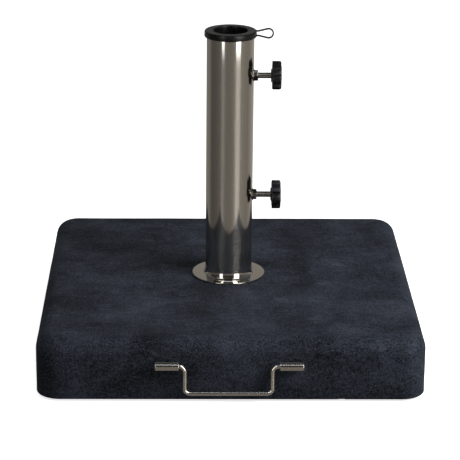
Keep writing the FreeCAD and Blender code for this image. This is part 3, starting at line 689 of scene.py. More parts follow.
@dataclass
class StoneSlab:
    """The granite slab: rounded, slightly uneven, chipped near the handle, with its underside machined."""

    corner_radius: float = 32.0 * MM
    top_round: float = 20.0 * MM
    bottom_round: float = 1.5 * MM
    grid: float = 10.0 * MM
    unevenness: float = 0.22 * MM
    unevenness_size: float = 70.0 * MM
    counterbore_radius: float = 24.0 * MM
    counterbore_depth: float = 22.0 * MM
    bolt_hole_radius: float = 7.0 * MM
    recess_width: float = 34.0 * MM
    recess_front: float = 198.0 * MM
    recess_roof: float = 58.0 * MM
    wheel_x: float = 165.0 * MM
    foot_radius: float = 16.0 * MM
    chips: Sequence[Chip] = (
        Chip(-97.0, -249.2, 68.6, 6.5, 4.0, 2.2),
        Chip(-92.0, -247.3, 72.6, 3.0, 5.0, 2.4),
        Chip(-101.0, -250.0, 60.0, 4.5, 3.0, 1.6),
        Chip(-79.5, -250.0, 60.5, 5.0, 1.8, 1.0),
        Chip(83.5, -250.0, 63.0, 6.0, 2.6, 1.5),
        Chip(89.0, -250.0, 60.6, 4.0, 1.6, 1.0),
        Chip(77.0, -250.0, 60.2, 3.4, 1.4, 0.9),
        Chip(-119.5, -250.0, 34.4, 5.0, 1.7, 1.4),
        Chip(-250.0, 96.0, 3.0, 2.0, 4.0, 5.0),
        Chip(250.0, -61.0, 3.0, 2.2, 4.5, 5.0),
        Chip(141.0, -250.0, 3.0, 6.0, 2.4, 2.2),
        Chip(-52.0, 243.0, 79.0, 5.0, 3.0, 4.0),
    )

    def block(self) -> BMesh:
        """Make the rounded block with cuts across it, so that it can be uneven.

        Returns:
            The block, without its holes.
        """
        low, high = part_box("stone_slab")
        bm = bmesh.new()
        bmesh.ops.create_cube(bm, size=1.0, matrix=Matrix.Translation((low + high) / 2.0)
                              @ Matrix.Diagonal(high - low).to_4x4())
        upright = [edge for edge in bm.edges if abs(edge.verts[0].co.z - edge.verts[1].co.z) > self.top_round]
        bmesh.ops.bevel(bm, geom=upright, offset=self.corner_radius, segments=16, profile=0.5, affect="EDGES",
                        material=-1)
        for level, radius, segments in ((high.z, self.top_round, 12), (low.z, self.bottom_round, 3)):
            rim = [edge for edge in bm.edges
                   if all(abs(vert.co.z - level) < MERGE_DISTANCE for vert in edge.verts)]
            bmesh.ops.bevel(bm, geom=rim, offset=radius, segments=segments, profile=0.5, affect="EDGES",
                            material=-1)
        for axis in range(3):
            count = round((high[axis] - low[axis]) / self.grid)
            normal = Vector([float(axis == other) for other in range(3)])
            for cut in range(1, count):
                at = normal * (low[axis] + cut * self.grid)
                bmesh.ops.bisect_plane(bm, geom=list(bm.verts) + list(bm.edges) + list(bm.faces), plane_co=at,
                                       dist=MERGE_DISTANCE, plane_no=normal)
        bm.normal_update()
        for vert in bm.verts:
            swell = noise.fractal(vert.co / self.unevenness_size, 0.9, 2.1, 3)
            inward = min(0.0, self.unevenness * (swell - 1.0))
            if vert.co.z > low.z + self.bottom_round:
                vert.co += vert.normal * inward
        return bm

    def tools(self) -> BMesh:
        """Make what is cut out of the underside.

        Returns:
            The counterbore, the bolt hole and both wheel recesses.
        """
        low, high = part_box("stone_slab")
        past = 5.0 * MM
        below = low.z - past
        above = high.z + past
        roof = low.z + self.counterbore_depth
        bore = [(0.0, below), (self.counterbore_radius, below), (self.counterbore_radius, roof),
                (self.bolt_hole_radius, roof), (self.bolt_hole_radius, above), (0.0, above)]
        bm = lathe(bore, 64, Matrix.Identity(4), closed=False)
        behind = high.y + past
        for side in Side:
            middle = Vector((side.value * self.wheel_x, (self.recess_front + behind) / 2.0,
                             (below + self.recess_roof) / 2.0))
            size = Vector((self.recess_width, behind - self.recess_front, self.recess_roof - below))
            recess = bmesh.new()
            bmesh.ops.create_cube(recess, size=1.0, matrix=Matrix.Translation(middle)
                                  @ Matrix.Diagonal(size).to_4x4())
            join(bm, recess)
        return bm

    def break_off(self, number: int, chip: Chip) -> BMesh:
        """Make the lump that leaves one chip.

        Args:
            number: The chip's number, which sets the lump's shape.
            chip: The chip.

        Returns:
            The lump, with the second finish on its faces.
        """
        lump = bmesh.new()
        across = abs(chip.x) < abs(chip.y)
        size = (chip.width, chip.depth, chip.height) if across else (chip.depth, chip.width, chip.height)
        bmesh.ops.create_icosphere(lump, subdivisions=3, radius=1.0)
        for vert in lump.verts:
            vert.co *= 1.0 + 0.42 * noise.noise(vert.co * 1.7 + Vector((number * 3.1, 0.0, 0.0)))
        place = Matrix.Translation(Vector((chip.x, chip.y, chip.z)) * MM)
        bmesh.ops.transform(lump, matrix=place @ Matrix.Diagonal(Vector(size) * MM).to_4x4(),
                            verts=list(lump.verts))
        for face in lump.faces:
            face.material_index = 1
        return lump

    def build(self) -> None:
        """Build the slab and its feet."""
        slab = to_object("granite_slab", self.block(), 30.0)
        slab.data.materials.append(GRANITE.material())
        slab.data.materials.append(CHIPPED.material())
        cut_away(slab, self.tools())
        for number, chip in enumerate(self.chips):
            cut_away(slab, self.break_off(number, chip))
        place_piece(slab, GRANITE, "base", ["stone_slab"])
        self.build_feet()

    def build_feet(self) -> None:
        """Build the four rubber feet, each with moulded rings on its tread."""
        low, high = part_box("foot_pads")
        radius, top = self.foot_radius / MM, high.z / MM
        outline = rounded([(0.0, 0.0), (3.0, 0.0), (3.4, 0.5), (5.0, 0.5), (5.4, 0.0), (8.5, 0.0), (8.9, 0.5),
                           (10.5, 0.5), (10.9, 0.0), (radius, 0.0, 0.7), (radius - 0.4, top, 0.3),
                           (0.0, top)], closed=False)
        pads = bmesh.new()
        for x in (low.x, high.x):
            for y in (low.y, high.y):
                inset = [math.copysign(abs(edge) - self.foot_radius, edge) for edge in (x, y)]
                centre = Vector(inset + [0.0])
                join(pads, lathe(outline, 64, Matrix.Translation(centre), closed=False))
        make_piece("rubber_feet", pads, FOOT_RUBBER, "base", ["foot_pads"])


@dataclass
class Standpipe:
    """The polished pipe, its rosette and the plate in its foot."""

    wall: float = 2.0
    edge_round: float = 0.5
    facets: int = 256
    screw_hole_radius: float = 4.4 * MM
    rosette_radius: float = 49.5
    rosette_thickness: float = 2.6
    rosette_rise: float = 0.8
    collar_height: float = 13.2
    collar_foot_radius: float = 34.1
    collar_top_radius: float = 31.95
    collar_bend: float = 20.0

    def build(self) -> None:
        """Build the pipe, the rosette and the plate."""
        low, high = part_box("standpipe")
        radius, foot, top = high.x / MM, low.z / MM, high.z / MM
        inner = radius - self.wall
        levels = [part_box(level.label + "_clamp_stud") for level in Level]
        heights = [(box[0].z + box[1].z) / 2.0 / MM for box in levels]
        rings = sorted(height + offset for height in heights for offset in (-7.0, 7.0))
        outline = rounded([(inner, foot), (radius, foot)] + [(radius, ring) for ring in rings]
                          + [(radius, top, self.edge_round), (inner, top, self.edge_round)]
                          + [(inner, ring) for ring in reversed(rings)])
        pipe = to_object("pipe", lathe(outline, self.facets, Matrix.Identity(4)), 30.0)
        pipe.data.materials.append(PIPE_STEEL.material())
        holes = bmesh.new()
        for height in heights:
            hole = bmesh.new()
            bmesh.ops.create_cone(hole, cap_ends=True, segments=48, radius1=self.screw_hole_radius,
                                  radius2=self.screw_hole_radius, depth=radius * MM,
                                  matrix=Matrix.Translation((radius * MM, 0.0, height * MM)) @ ALONG_X)
            join(holes, hole)
        cut_away(pipe, holes)
        place_piece(pipe, PIPE_STEEL, "base", ["standpipe"])
        self.build_rosette(radius)
        dress("pipe_end_plate", ZINC)

    def build_rosette(self, pipe_radius: float) -> None:
        """Build the spun rosette: a thin flat disc with a rolled rim and a flared collar.

        Args:
            pipe_radius: The pipe's outer radius, in millimetres.
        """
        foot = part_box("cover_rosette")[0].z
        crease = self.rosette_thickness + self.rosette_rise
        rise = self.collar_height - crease
        waist = crease + rise * 0.45
        outline = rounded([
            (pipe_radius, 0.0),
            (self.rosette_radius, 0.0, 0.2),
            (self.rosette_radius, self.rosette_thickness, 0.45),
            (self.collar_foot_radius + 0.35, crease, 0.25),
            (self.collar_foot_radius, crease + 0.4, 0.2),
            (self.collar_top_radius + 0.1, waist, self.collar_bend),
            (self.collar_top_radius, self.collar_height - 0.1, 0.05),
            (pipe_radius + 0.03, self.collar_height),
        ], steps=10)
        bm = lathe(outline, self.facets, Matrix.Translation((0.0, 0.0, foot)))
        make_piece("rosette", bm, ROSETTE_STEEL, "base", ["cover_rosette"])


@dataclass
class ReducingRing:
    """The black insert in the pipe's mouth, with its pull loop."""

    lip_radius: float = 34.9
    lip_thickness: float = 8.2
    lip_round: float = 2.0
    bore_radius: float = 23.0
    sleeve_radius: float = 29.45
    nub_size: float = 1.6
    nub_angles: Sequence[float] = (-93.0, -37.0)
    nub_middle: float = 33.3
    loop_thickness: float = 1.95 * MM
    loop_width: float = 3.8 * MM
    loop_eye_radius: float = 6.2 * MM
    loop_eye_x: float = 50.4 * MM
    loop_spread: float = 14.0
    loop_root_half_gap: float = 3.1 * MM
    loop_root_bend: float = 12.0 * MM

    def build(self) -> None:
        """Build the ring and its loop."""
        low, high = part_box("reducing_ring")
        top = high.z / MM
        seat = top - self.lip_thickness
        foot = low.z / MM
        outline = rounded([
            (self.bore_radius, foot, 0.4),
            (self.sleeve_radius - 1.0, foot, 0.4),
            (self.sleeve_radius, foot + 2.0),
            (self.sleeve_radius, seat),
            (self.lip_radius, seat, 0.8),
            (self.lip_radius, top, self.lip_round),
            (self.lip_radius - 5.0, top - 0.06),
            (self.bore_radius + 3.0, top - 0.06),
            (self.bore_radius, top, 1.4),
        ])
        bm = lathe(outline, 192, Matrix.Identity(4))
        for angle in self.nub_angles:
            turn = math.radians(angle)
            middle = Vector((self.nub_middle * math.cos(turn), self.nub_middle * math.sin(turn),
                             seat - self.nub_size / 2.0))
            place = Matrix.Translation(middle * MM)
            nub = rounded([(0.0, 0.0), (self.nub_size / 2.0, 0.0, 0.4), (self.nub_size / 2.0, self.nub_size)],
                          closed=False)
            join(bm, lathe(nub + [(0.0, self.nub_size * MM)], 20, place, closed=False))
        make_piece("insert_ring", bm, RING_PLASTIC, "reducer", ["reducing_ring"])
        self.build_loop((seat + self.lip_thickness / 2.0) * MM)

    def build_loop(self, middle: float) -> None:
        """Draw the loop's strap out from the ring, round its eye and back.

        Args:
            middle: The height of the loop's middle.
        """
        spread = math.radians(self.loop_spread)
        eye_start = Vector((self.loop_eye_x - self.loop_eye_radius * math.sin(spread), 0.0,
                            self.loop_eye_radius * math.cos(spread)))
        corner_x = eye_start.x - (eye_start.z - self.loop_root_half_gap) / math.tan(spread)
        reach = self.loop_root_bend * math.tan(spread / 2.0)
        root_x = (self.lip_radius - 1.8) * MM
        slope = (eye_start.z - self.loop_root_half_gap) / math.sin(spread) - reach
        axis = Vector((0.0, -1.0, 0.0))
        strap = BentBar(Vector((root_x, 0.0, middle + self.loop_root_half_gap)), Vector((1.0, 0.0, 0.0)),
                        self.loop_thickness, self.loop_width)
        strap.straight(corner_x - reach - root_x)
        strap.bend(self.loop_root_bend, spread, axis, 8)
        strap.straight(slope)
        strap.bend(self.loop_eye_radius, -(math.pi + 2.0 * spread), axis, 48)
        strap.straight(slope)
        strap.bend(self.loop_root_bend, spread, axis, 8)
        strap.straight(corner_x - reach - root_x)
        make_piece("insert_pull_loop", strap.finish(), RING_PLASTIC, "reducer", ["pull_loop"], smooth=20.0)


@dataclass
class ClampScrew:
    """One clamp screw: its weld nut, threaded stud, swivel tip and star knob."""

    level: Level
    stud_radius: float = 4.0 * MM
    pitch: float = 1.25 * MM
    thread_depth: float = 0.3 * MM
    lobes: int = 7
    steps_each_lobe: int = 26
    knob_radius: float = 19.5
    valley_centre: float = 21.8
    valley_radius: float = 5.4
    lobe_blend: float = 3.4
    hub_length: float = 1.6
    hub_radius: float = 10.4
    hub_end_radius: float = 8.2
    disc_thickness: float = 12.2
    front_round: float = 2.6
    back_round: float = 0.8
    dish_radius: float = 9.0
    dish_depth: float = 0.8
    bead_radius: float = 7.4 * MM
    bead_size: float = 0.9 * MM

    def build(self) -> None:
        """Build the screw's pieces."""
        name = self.level.label
        low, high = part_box(name + "_clamp_stud")
        height = (low.z + high.z) / 2.0
        place = Matrix.Translation((low.x, 0.0, height)) @ ALONG_X
        stud = threaded_bar(self.stud_radius, self.pitch, self.thread_depth, high.x - low.x, place)
        make_piece(name + "_stud", stud, STUD_STEEL, name + "_screw", [name + "_clamp_stud"], smooth=25.0)
        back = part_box(name + "_star_knob")[0].x
        knob = self.knob()
        turn = Matrix.Rotation(math.radians(self.level.value), 4, "X")
        knob_place = Matrix.Translation((back, 0.0, height)) @ turn
        bmesh.ops.transform(knob, matrix=knob_place, verts=list(knob.verts))
        make_piece(name + "_knob", knob, KNOB_PLASTIC, name + "_screw", [name + "_star_knob"])
        make_piece(name + "_nut", softened(name + "_weld_nut", 0.18 * MM), FASTENER_STEEL, "base",
                   [name + "_weld_nut"])
        self.build_bead(height)
        make_piece(name + "_tip", softened(name + "_thrust_tip", 0.12 * MM), NYLON, name + "_tip",
                   [name + "_thrust_tip"])

    def lobed_radius(self, angle: float, inset: float) -> float:
        """The knob's radius in one direction.

        Args:
            angle: The direction, in radians from the middle of a lobe.
            inset: How far the outline is drawn in, in millimetres.

        Returns:
            The radius, in millimetres.
        """
        pitch = FULL_TURN / self.lobes
        off_valley = angle % pitch - pitch / 2.0
        rim = self.knob_radius - inset
        valley = self.valley_radius + inset
        aside = abs(self.valley_centre * math.sin(off_valley))
        reach = self.valley_centre * math.cos(off_valley)
        reach -= math.sqrt(max(valley * valley - aside * aside, 0.0))
        reach += 3.0 * max(aside - valley, 0.0)
        mix = min(max(0.5 + 0.5 * (reach - rim) / self.lobe_blend, 0.0), 1.0)
        return reach * (1.0 - mix) + rim * mix - self.lobe_blend * mix * (1.0 - mix)

    def knob(self) -> BMesh:
        """Draw the knob out ring by ring from its bore to the middle of its dish, along +X.

        Returns:
            The knob, with its hub's end at the origin.
        """
        back = self.hub_length
        front = back + self.disc_thickness
        arc = [math.radians(90.0 * step / 6.0) for step in range(7)]
        lobed = [(self.back_round * (1.0 - math.sin(a)), back + self.back_round * (1.0 - math.cos(a)))
                 for a in arc]
        lobed += [(self.front_round * (1.0 - math.cos(a)), front - self.front_round * (1.0 - math.sin(a)))
                  for a in arc]
        floor = front - self.dish_depth
        plain = rounded([(self.dish_radius + 3.0, front), (self.dish_radius + 0.4, front, 0.35),
                         (self.dish_radius, floor, 0.35), (self.dish_radius - 2.0, floor),
                         (0.4, floor + 0.25)], closed=False, steps=3)
        stud_bore = self.stud_radius / MM - 0.1
        hub = rounded([(stud_bore, 3.0), (stud_bore, 0.0), (self.hub_end_radius, 0.0, 0.4),
                       (self.hub_radius, back, 0.3), (self.hub_radius + 1.5, back)], closed=False, steps=3)
        bm = bmesh.new()
        count = self.lobes * self.steps_each_lobe
        bmesh.ops.create_circle(bm, cap_ends=True, segments=count, radius=1.0)
        angles = [math.atan2(vert.co.y, vert.co.x) for vert in bm.verts]
        ring = list(bm.verts)

        def set_ring(verts: Sequence[BMVert], radii: Sequence[float], level: float) -> None:
            """Put one ring's vertices at their radii, in metres, and level."""
            for vert, angle, radius in zip(verts, angles, radii):
                vert.co = (level, radius * math.cos(angle), radius * math.sin(angle))

        rings = [([radius] * count, level) for radius, level in hub]
        rings += [([self.lobed_radius(angle, inset) * MM for angle in angles], level * MM)
                  for inset, level in lobed]
        rings += [([radius] * count, level) for radius, level in plain]
        set_ring(ring, *rings[0])
        for radii, level in rings[1:]:
            edges = [bm.edges.get(pair) for pair in zip(ring, ring[1:] + ring[:1])]
            grown = bmesh.ops.extrude_edge_only(bm, edges=edges)["geom"]
            following = []
            for vert in ring:
                link = next(edge for edge in vert.link_edges if edge.other_vert(vert) in grown)
                following.append(link.other_vert(vert))
            set_ring(following, radii, level)
            ring = following
        close_ends(bm)
        bmesh.ops.recalc_face_normals(bm, faces=list(bm.faces))
        return bm

    def build_bead(self, height: float) -> None:
        """Lay the weld bead where the nut meets the pipe.

        Args:
            height: The screw's height.
        """
        pipe_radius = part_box("standpipe")[1].x
        section = [(self.bead_radius + self.bead_size * math.cos(FULL_TURN * step / 12),
                    self.bead_size * 0.8 * math.sin(FULL_TURN * step / 12)) for step in range(12)]
        bead = lathe(section, 96, ALONG_X)
        for vert in bead.verts:
            ripple = 0.1 * MM * math.sin(26.0 * math.atan2(vert.co.z, vert.co.y))
            vert.co.x += math.sqrt(pipe_radius ** 2 - vert.co.y ** 2) + 0.1 * MM + ripple
        bmesh.ops.translate(bead, vec=(0.0, 0.0, height), verts=list(bead.verts))
        make_piece(self.level.label + "_nut_weld", bead, FASTENER_STEEL, "base", smooth=60.0)


@dataclass
class BailHandle:
    """The bent carrying bar, the two barrels that it turns in and their anchors."""

    rod_radius: float = 3.0 * MM
    leg_x: float = 55.6 * MM
    upper_bend: float = 8.0 * MM
    lower_bend: float = 7.0 * MM
    barrel_radius: float = 6.0
    barrel_length: float = 30.4
    bore_radius: float = 3.05
    bore_depth: float = 27.5

    def build(self) -> None:
        """Build the bar and its barrels."""
        low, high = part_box("carry_handle")
        barrel_low, barrel_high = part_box("right_hinge_barrel")
        axis_y = (low.y + high.y) / 2.0
        top, bottom = (barrel_low.z + barrel_high.z) / 2.0, low.z + self.rod_radius
        end = (high.x - low.x) / 2.0 - self.leg_x - self.upper_bend
        rise = top - bottom - self.upper_bend - self.lower_bend
        across = Vector((0.0, 1.0, 0.0))
        quarter = math.radians(90.0)
        bar = BentBar(Vector((low.x, axis_y, top)), Vector((1.0, 0.0, 0.0)), 2.0 * self.rod_radius, sides=40)
        bar.straight(end)
        bar.bend(self.upper_bend, quarter, across, 16)
        bar.straight(rise)
        bar.bend(self.lower_bend, -quarter, across, 16)
        bar.straight(2.0 * (self.leg_x - self.lower_bend))
        bar.bend(self.lower_bend, -quarter, across, 16)
        bar.straight(rise)
        bar.bend(self.upper_bend, quarter, across, 16)
        bar.straight(end)
        make_piece("handle_bar", bar.finish(), ROD_STEEL, "handle", ["carry_handle"], smooth=50.0)
        outline = rounded([
            (0.0, self.barrel_length - self.bore_depth - 1.2),
            (self.bore_radius, self.barrel_length - self.bore_depth),
            (self.bore_radius, self.barrel_length - 0.4),
            (self.bore_radius + 0.4, self.barrel_length, 0.15),
            (self.barrel_radius, self.barrel_length, 0.6),
            (self.barrel_radius, 0.0, 0.9),
            (0.0, 0.0),
        ], closed=False)
        for side in Side:
            node = side.label + "_hinge_barrel"
            outer_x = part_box(node)[0 if side is Side.LEFT else 1].x
            inward = Matrix.Rotation(math.radians(-90.0 * side.value), 4, "Y")
            place = Matrix.Translation((outer_x, axis_y, top)) @ inward
            barrel = lathe(outline, 96, place, closed=False)
            make_piece(side.label + "_barrel", barrel, ROD_STEEL, "base", [node])
            dress(side.label + "_handle_anchor", FASTENER_STEEL)


@dataclass
class TrolleyWheel:
    """One small wheel in its bracket under the slab's rear edge."""

    side: Side
    radius: float = 25.0
    tyre_inner: float = 19.0
    tyre_half: float = 10.0
    shoulder: float = 4.0
    groove: float = 0.8
    hub_radius: float = 8.5
    hub_half: float = 10.5
    bead_inner: float = 16.0
    rim_half: float = 8.0
    web_half: float = 2.2
    bore: float = 4.06
    ribs: int = 6
    rib_thickness: float = 2.0 * MM

    def build(self) -> None:
        """Build the tyre, the ribbed wheel, its axle and its bracket."""
        name = self.side.label
        low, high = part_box(name + "_wheel_tyre")
        centre = (low + high) / 2.0
        place = Matrix.Translation(centre) @ ALONG_X
        body = name + "_wheel"
        groove = [(self.radius, -1.0, 0.2), (self.radius - self.groove, -0.6, 0.2),
                  (self.radius - self.groove, 0.6, 0.2), (self.radius, 1.0, 0.2)]
        grooves = [(point[0], point[1] + middle, point[2]) for middle in (-3.4, 0.0, 3.4) for point in groove]
        sides = [[(self.tyre_inner, half, 0.3), (self.radius, half, self.shoulder)]
                 for half in (-self.tyre_half, self.tyre_half)]
        tyre = rounded(sides[0] + grooves + sides[1][::-1], steps=5)
        make_piece(name + "_tyre", lathe(tyre, 128, place), WHEEL_RUBBER, body, [name + "_wheel_tyre"])
        rim = rounded([
            (self.bore, -self.hub_half, 0.4), (self.hub_radius, -self.hub_half, 0.8),
            (self.hub_radius, -self.web_half, 1.0), (self.bead_inner, -self.web_half, 1.0),
            (self.bead_inner, -self.rim_half, 0.5), (self.tyre_inner, -self.rim_half, 0.3),
            (self.tyre_inner, self.rim_half, 0.3), (self.bead_inner, self.rim_half, 0.5),
            (self.bead_inner, self.web_half, 1.0), (self.hub_radius, self.web_half, 1.0),
            (self.hub_radius, self.hub_half, 0.8), (self.bore, self.hub_half, 0.4),
        ], steps=4)
        wheel = lathe(rim, 128, place)
        reach = (self.bead_inner - self.hub_radius + 1.0) * MM
        middle = (self.bead_inner + self.hub_radius) / 2.0 * MM
        size = Matrix.Diagonal((2.0 * (self.rim_half - 0.8) * MM, self.rib_thickness, reach)).to_4x4()
        for rib in range(self.ribs):
            turn = Matrix.Rotation(FULL_TURN * rib / self.ribs, 4, "X")
            bar = bmesh.new()
            bmesh.ops.create_cube(bar, size=1.0, matrix=Matrix.Translation(centre) @ turn
                                  @ Matrix.Translation((0.0, 0.0, middle)) @ size)
            bmesh.ops.bevel(bar, geom=list(bar.edges), offset=0.35 * MM, segments=2, profile=0.5,
                            affect="EDGES", material=-1)
            join(wheel, bar)
        make_piece(name + "_wheel_centre", wheel, WHEEL_PLASTIC, body, [name + "_wheel_rim"])
        for piece, node, edge in (("_bracket", "_wheel_bracket", 0.35), ("_axle_pin", "_wheel_axle", 0.15)):
            make_piece(name + piece, softened(name + node, edge * MM), ZINC, "base", [name + node])


@dataclass
class Underside:
    """The bolt that holds the pipe down, its washers, and the screws of the wheel brackets."""

    def build(self) -> None:
        """Build the fasteners, with their edges softened."""
        for node, name, edge in (("fixing_bolt", "centre_bolt", 0.3), ("load_washer", "large_washer", 0.3),
                                 ("spring_washer", "split_washer", 0.2),
                                 ("bracket_screws", "wheel_screws", 0.12)):
            make_piece(name, softened(node, edge * MM), ZINC, "base", [node])


# ---------------------------------------------------------------------------------------------
# Studio
# ---------------------------------------------------------------------------------------------


@dataclass
class Studio:
    """A pale floor, soft light and the camera."""

    floor_radius: float = 9.0
    camera_place: Vector = field(default_factory=lambda: Vector((-0.05312, -2.63581, 1.05956)))
    camera_yaw: float = 1.191
    camera_pitch: float = 19.123
    camera_roll: float = 0.545
    camera_lens: float = 159.474

    def build(self) -> None:
        """Set up the floor, the world, the lamps, the camera and the picture's tones."""
        self.build_floor()
        self.build_world()
        self.build_lamps()
        self.build_camera()
        bpy.context.scene.view_settings.view_transform = "Standard"

    def build_floor(self) -> None:
        """Make the pale floor."""
        bm = bmesh.new()
        bmesh.ops.create_circle(bm, cap_ends=True, segments=96, radius=self.floor_radius)
        floor = to_object("floor", bm, 30.0)
        material = bpy.data.materials.new("Floor, white paper")
        material.use_nodes = True
        tree = material.node_tree
        tree.nodes.clear()
        paper = add_node(tree, "ShaderNodeBsdfPrincipled", {
            "Base Color": linear("#F2F2F2"), "Roughness": 0.9, "Specular IOR Level": 0.1,
            "Emission Color": linear("#FFFFFF"), "Emission Strength": 0.75})
        bounce = add_node(tree, "ShaderNodeBsdfDiffuse", {"Color": grey(0.2)})
        rays = add_node(tree, "ShaderNodeLightPath")
        shown = add_node(tree, "ShaderNodeMixShader", {0: rays.outputs["Is Camera Ray"], 1: bounce.outputs[0],
                                                       2: paper.outputs[0]})
        add_node(tree, "ShaderNodeOutputMaterial", {"Surface": shown.outputs[0]})
        floor.data.materials.append(material)
        floor.visible_glossy = False

    def build_world(self) -> None:
        """Make the surroundings: white to the eye, a soft sky for the stone, and strip lights for metal."""
        world = bpy.data.worlds.new("Studio")
        bpy.context.scene.world = world
        world.use_nodes = True
        world.cycles.sampling_method = "NONE"
        tree = world.node_tree
        tree.nodes.clear()
        way = add_node(tree, "ShaderNodeTexCoord").outputs["Generated"]
        parts = add_node(tree, "ShaderNodeSeparateXYZ", {0: way})
        towards_handle = maths(tree, "MULTIPLY", parts.outputs["Y"], -1.0)
        around = maths(tree, "ARCTAN2", parts.outputs["X"], towards_handle)
        azimuth = remap(tree, around, -math.pi, math.pi, 0.0, 1.0)
        height = maths(tree, "MULTIPLY", maths(tree, "ARCSINE", parts.outputs["Z"]), math.degrees(1.0))

        def band(low: float, full: float) -> NodeSocket:
            """A mask that rises from 0 to 1 between two heights in degrees."""
            return add_node(tree, "ShaderNodeMapRange", {"Value": height, "From Min": low, "From Max": full},
                            interpolation_type="SMOOTHSTEP").outputs[0]

        def patch(rising: tuple[float, float], falling: tuple[float, float]) -> NodeSocket:
            """A mask that is 1 between two heights and fades at both, in degrees."""
            return maths(tree, "MULTIPLY", band(*rising), band(*falling))

        def round_the_room(stops: Sequence[tuple[float, tuple[float, ...]]]) -> NodeSocket:
            """A colour by direction round the room, in degrees from the handle's side towards +X."""
            places = [((degrees + 180.0) / 360.0, colour) for degrees, colour in stops]
            return add_node(tree, "ShaderNodeValToRGB", {"Fac": azimuth}, stops=places).outputs[0]

        def warm(value: float) -> tuple[float, float, float, float]:
            """A warm grey of one brightness."""
            return value * 1.05, value * 0.99, value * 0.9, 1.0

        low_room = round_the_room([
            (-180.0, warm(0.30)), (-140.0, warm(0.24)), (-114.0, warm(0.21)), (-104.0, warm(0.115)),
            (-86.0, warm(0.10)), (-60.0, warm(0.13)), (-46.0, warm(0.17)), (-38.0, warm(0.27)),
            (-30.0, warm(0.26)), (-22.0, warm(0.19)), (0.0, warm(0.185)), (14.0, warm(0.22)),
            (23.0, warm(0.30)), (33.0, warm(0.58)), (45.0, warm(0.58)), (53.0, warm(0.31)),
            (75.0, warm(0.26)), (95.0, warm(0.235)), (112.0, warm(0.30)), (150.0, warm(0.45)),
            (180.0, warm(0.30))])
        dusk = (0.13, 0.145, 0.175, 1.0)
        high_room = round_the_room([
            (-180.0, dusk), (-110.0, dusk), (-95.0, warm(0.16)), (-85.0, warm(0.04)),
            (50.0, warm(0.04)), (60.0, warm(0.10)), (95.0, warm(0.14)), (110.0, dusk), (180.0, dusk)])
        strips = round_the_room([
            (-180.0, grey(0.0)), (-43.0, grey(0.0)), (-40.0, grey(0.55)), (-31.0, grey(0.55)),
            (-28.0, grey(0.0)), (26.0, grey(0.0)), (29.0, grey(1.0)), (48.0, grey(1.0)), (51.0, grey(0.0)),
            (180.0, grey(0.0))])
        lit = add_node(tree, "ShaderNodeVectorMath", {0: strips, "Scale": 6.5}, operation="SCALE").outputs[0]
        room = mix_colours(tree, band(2.0, 10.0), low_room, high_room)
        room = mix_colours(tree, patch((-12.0, -4.0), (62.0, 58.0)), room, lit, "ADD")
        room = mix_colours(tree, band(60.0, 66.0), room, warm(0.05))
        ahead = round_the_room([
            (-180.0, grey(0.0)), (-75.0, grey(0.0)), (-60.0, grey(1.0)), (60.0, grey(1.0)), (75.0, grey(0.0)),
            (180.0, grey(0.0))])
        overhead = maths(tree, "MULTIPLY", patch((50.0, 52.0), (57.0, 55.0)), ahead)
        room = mix_colours(tree, overhead, room, (2.2, 2.5, 2.9, 1.0))
        room = mix_colours(tree, band(-28.0, -42.0), room, warm(0.2))
        behind = round_the_room([
            (-180.0, grey(1.0)), (-168.0, grey(1.0)), (-160.0, grey(0.0)), (160.0, grey(0.0)),
            (168.0, grey(1.0)), (180.0, grey(1.0))])
        window = maths(tree, "MULTIPLY", patch((9.0, 13.0), (32.0, 28.0)), behind)
        room = mix_colours(tree, window, room, warm(0.27))
        glossy = add_node(tree, "ShaderNodeBackground", {"Color": room, "Strength": 1.0}).outputs[0]

        sky = mix_colours(tree, band(-5.0, 80.0), grey(0.13), grey(0.56))
        soft = add_node(tree, "ShaderNodeBackground", {"Color": sky, "Strength": 1.0}).outputs[0]
        plain = add_node(tree, "ShaderNodeBackground", {"Color": grey(1.0), "Strength": 1.0}).outputs[0]
        rays = add_node(tree, "ShaderNodeLightPath")
        seen = add_node(tree, "ShaderNodeMixShader", {0: rays.outputs["Is Glossy Ray"], 1: soft, 2: glossy})
        seen = add_node(tree, "ShaderNodeMixShader", {0: rays.outputs["Is Camera Ray"], 1: seen.outputs[0],
                                                      2: plain})
        add_node(tree, "ShaderNodeOutputWorld", {"Surface": seen.outputs[0]})

    def build_lamps(self) -> None:
        """Hang a soft key light on the right, a weaker fill on the left and a low one behind."""
        for name, place, size, power in (("key", Vector((1.0, -0.6, 0.85)), 0.7, 19.0),
                                         ("fill", Vector((-1.3, -1.0, 1.6)), 1.4, 1.5),
                                         ("back", Vector((-0.7, 1.7, 0.35)), 0.8, 7.0)):
            lamp = bpy.data.lights.new(name, "AREA")
            lamp.shape = "DISK"
            lamp.size = size
            lamp.energy = power
            holder = bpy.data.objects.new(name, lamp)
            holder.location = place
            holder.rotation_euler = (Vector((0.0, 0.0, 0.08)) - place).to_track_quat("-Z", "Y").to_euler()
            holder.visible_glossy = False
            bpy.context.scene.collection.objects.link(holder)

    def build_camera(self) -> None:
        """Place the camera in front of the handle, looking down on the slab."""
        yaw, pitch, roll = (math.radians(a) for a in (self.camera_yaw, self.camera_pitch, self.camera_roll))
        ahead = Vector((math.sin(yaw) * math.cos(pitch), math.cos(yaw) * math.cos(pitch), -math.sin(pitch)))
        across = Vector((math.cos(yaw), -math.sin(yaw), 0.0))
        upward = across.cross(ahead)
        rolled_across = across * math.cos(roll) + upward * math.sin(roll)
        rolled_upward = upward * math.cos(roll) - across * math.sin(roll)
        turn = Matrix((rolled_across, rolled_upward, -ahead)).transposed().to_4x4()
        camera = bpy.data.objects.new("camera", bpy.data.cameras.new("camera"))
        camera.data.lens = self.camera_lens
        camera.matrix_world = Matrix.Translation(self.camera_place) @ turn
        bpy.context.scene.collection.objects.link(camera)
        bpy.context.scene.camera = camera


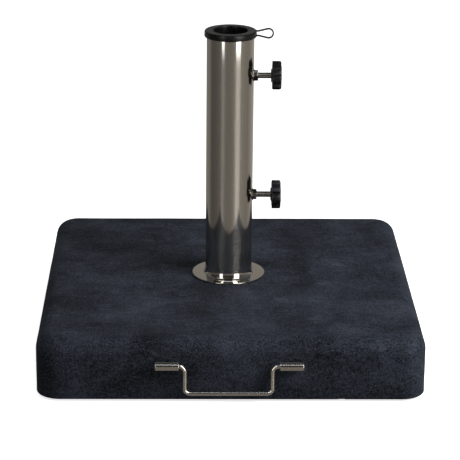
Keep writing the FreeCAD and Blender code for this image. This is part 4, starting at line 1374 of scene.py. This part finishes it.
def main() -> None:
    """Build every sub-assembly and the studio."""
    logging.basicConfig(level=logging.INFO, format="%(name)s: %(message)s")
    StoneSlab().build()
    Standpipe().build()
    ReducingRing().build()
    for level in Level:
        ClampScrew(level).build()
    BailHandle().build()
    for side in Side:
        TrolleyWheel(side).build()
    Underside().build()
    Studio().build()


if __name__ == "__main__":
    main()
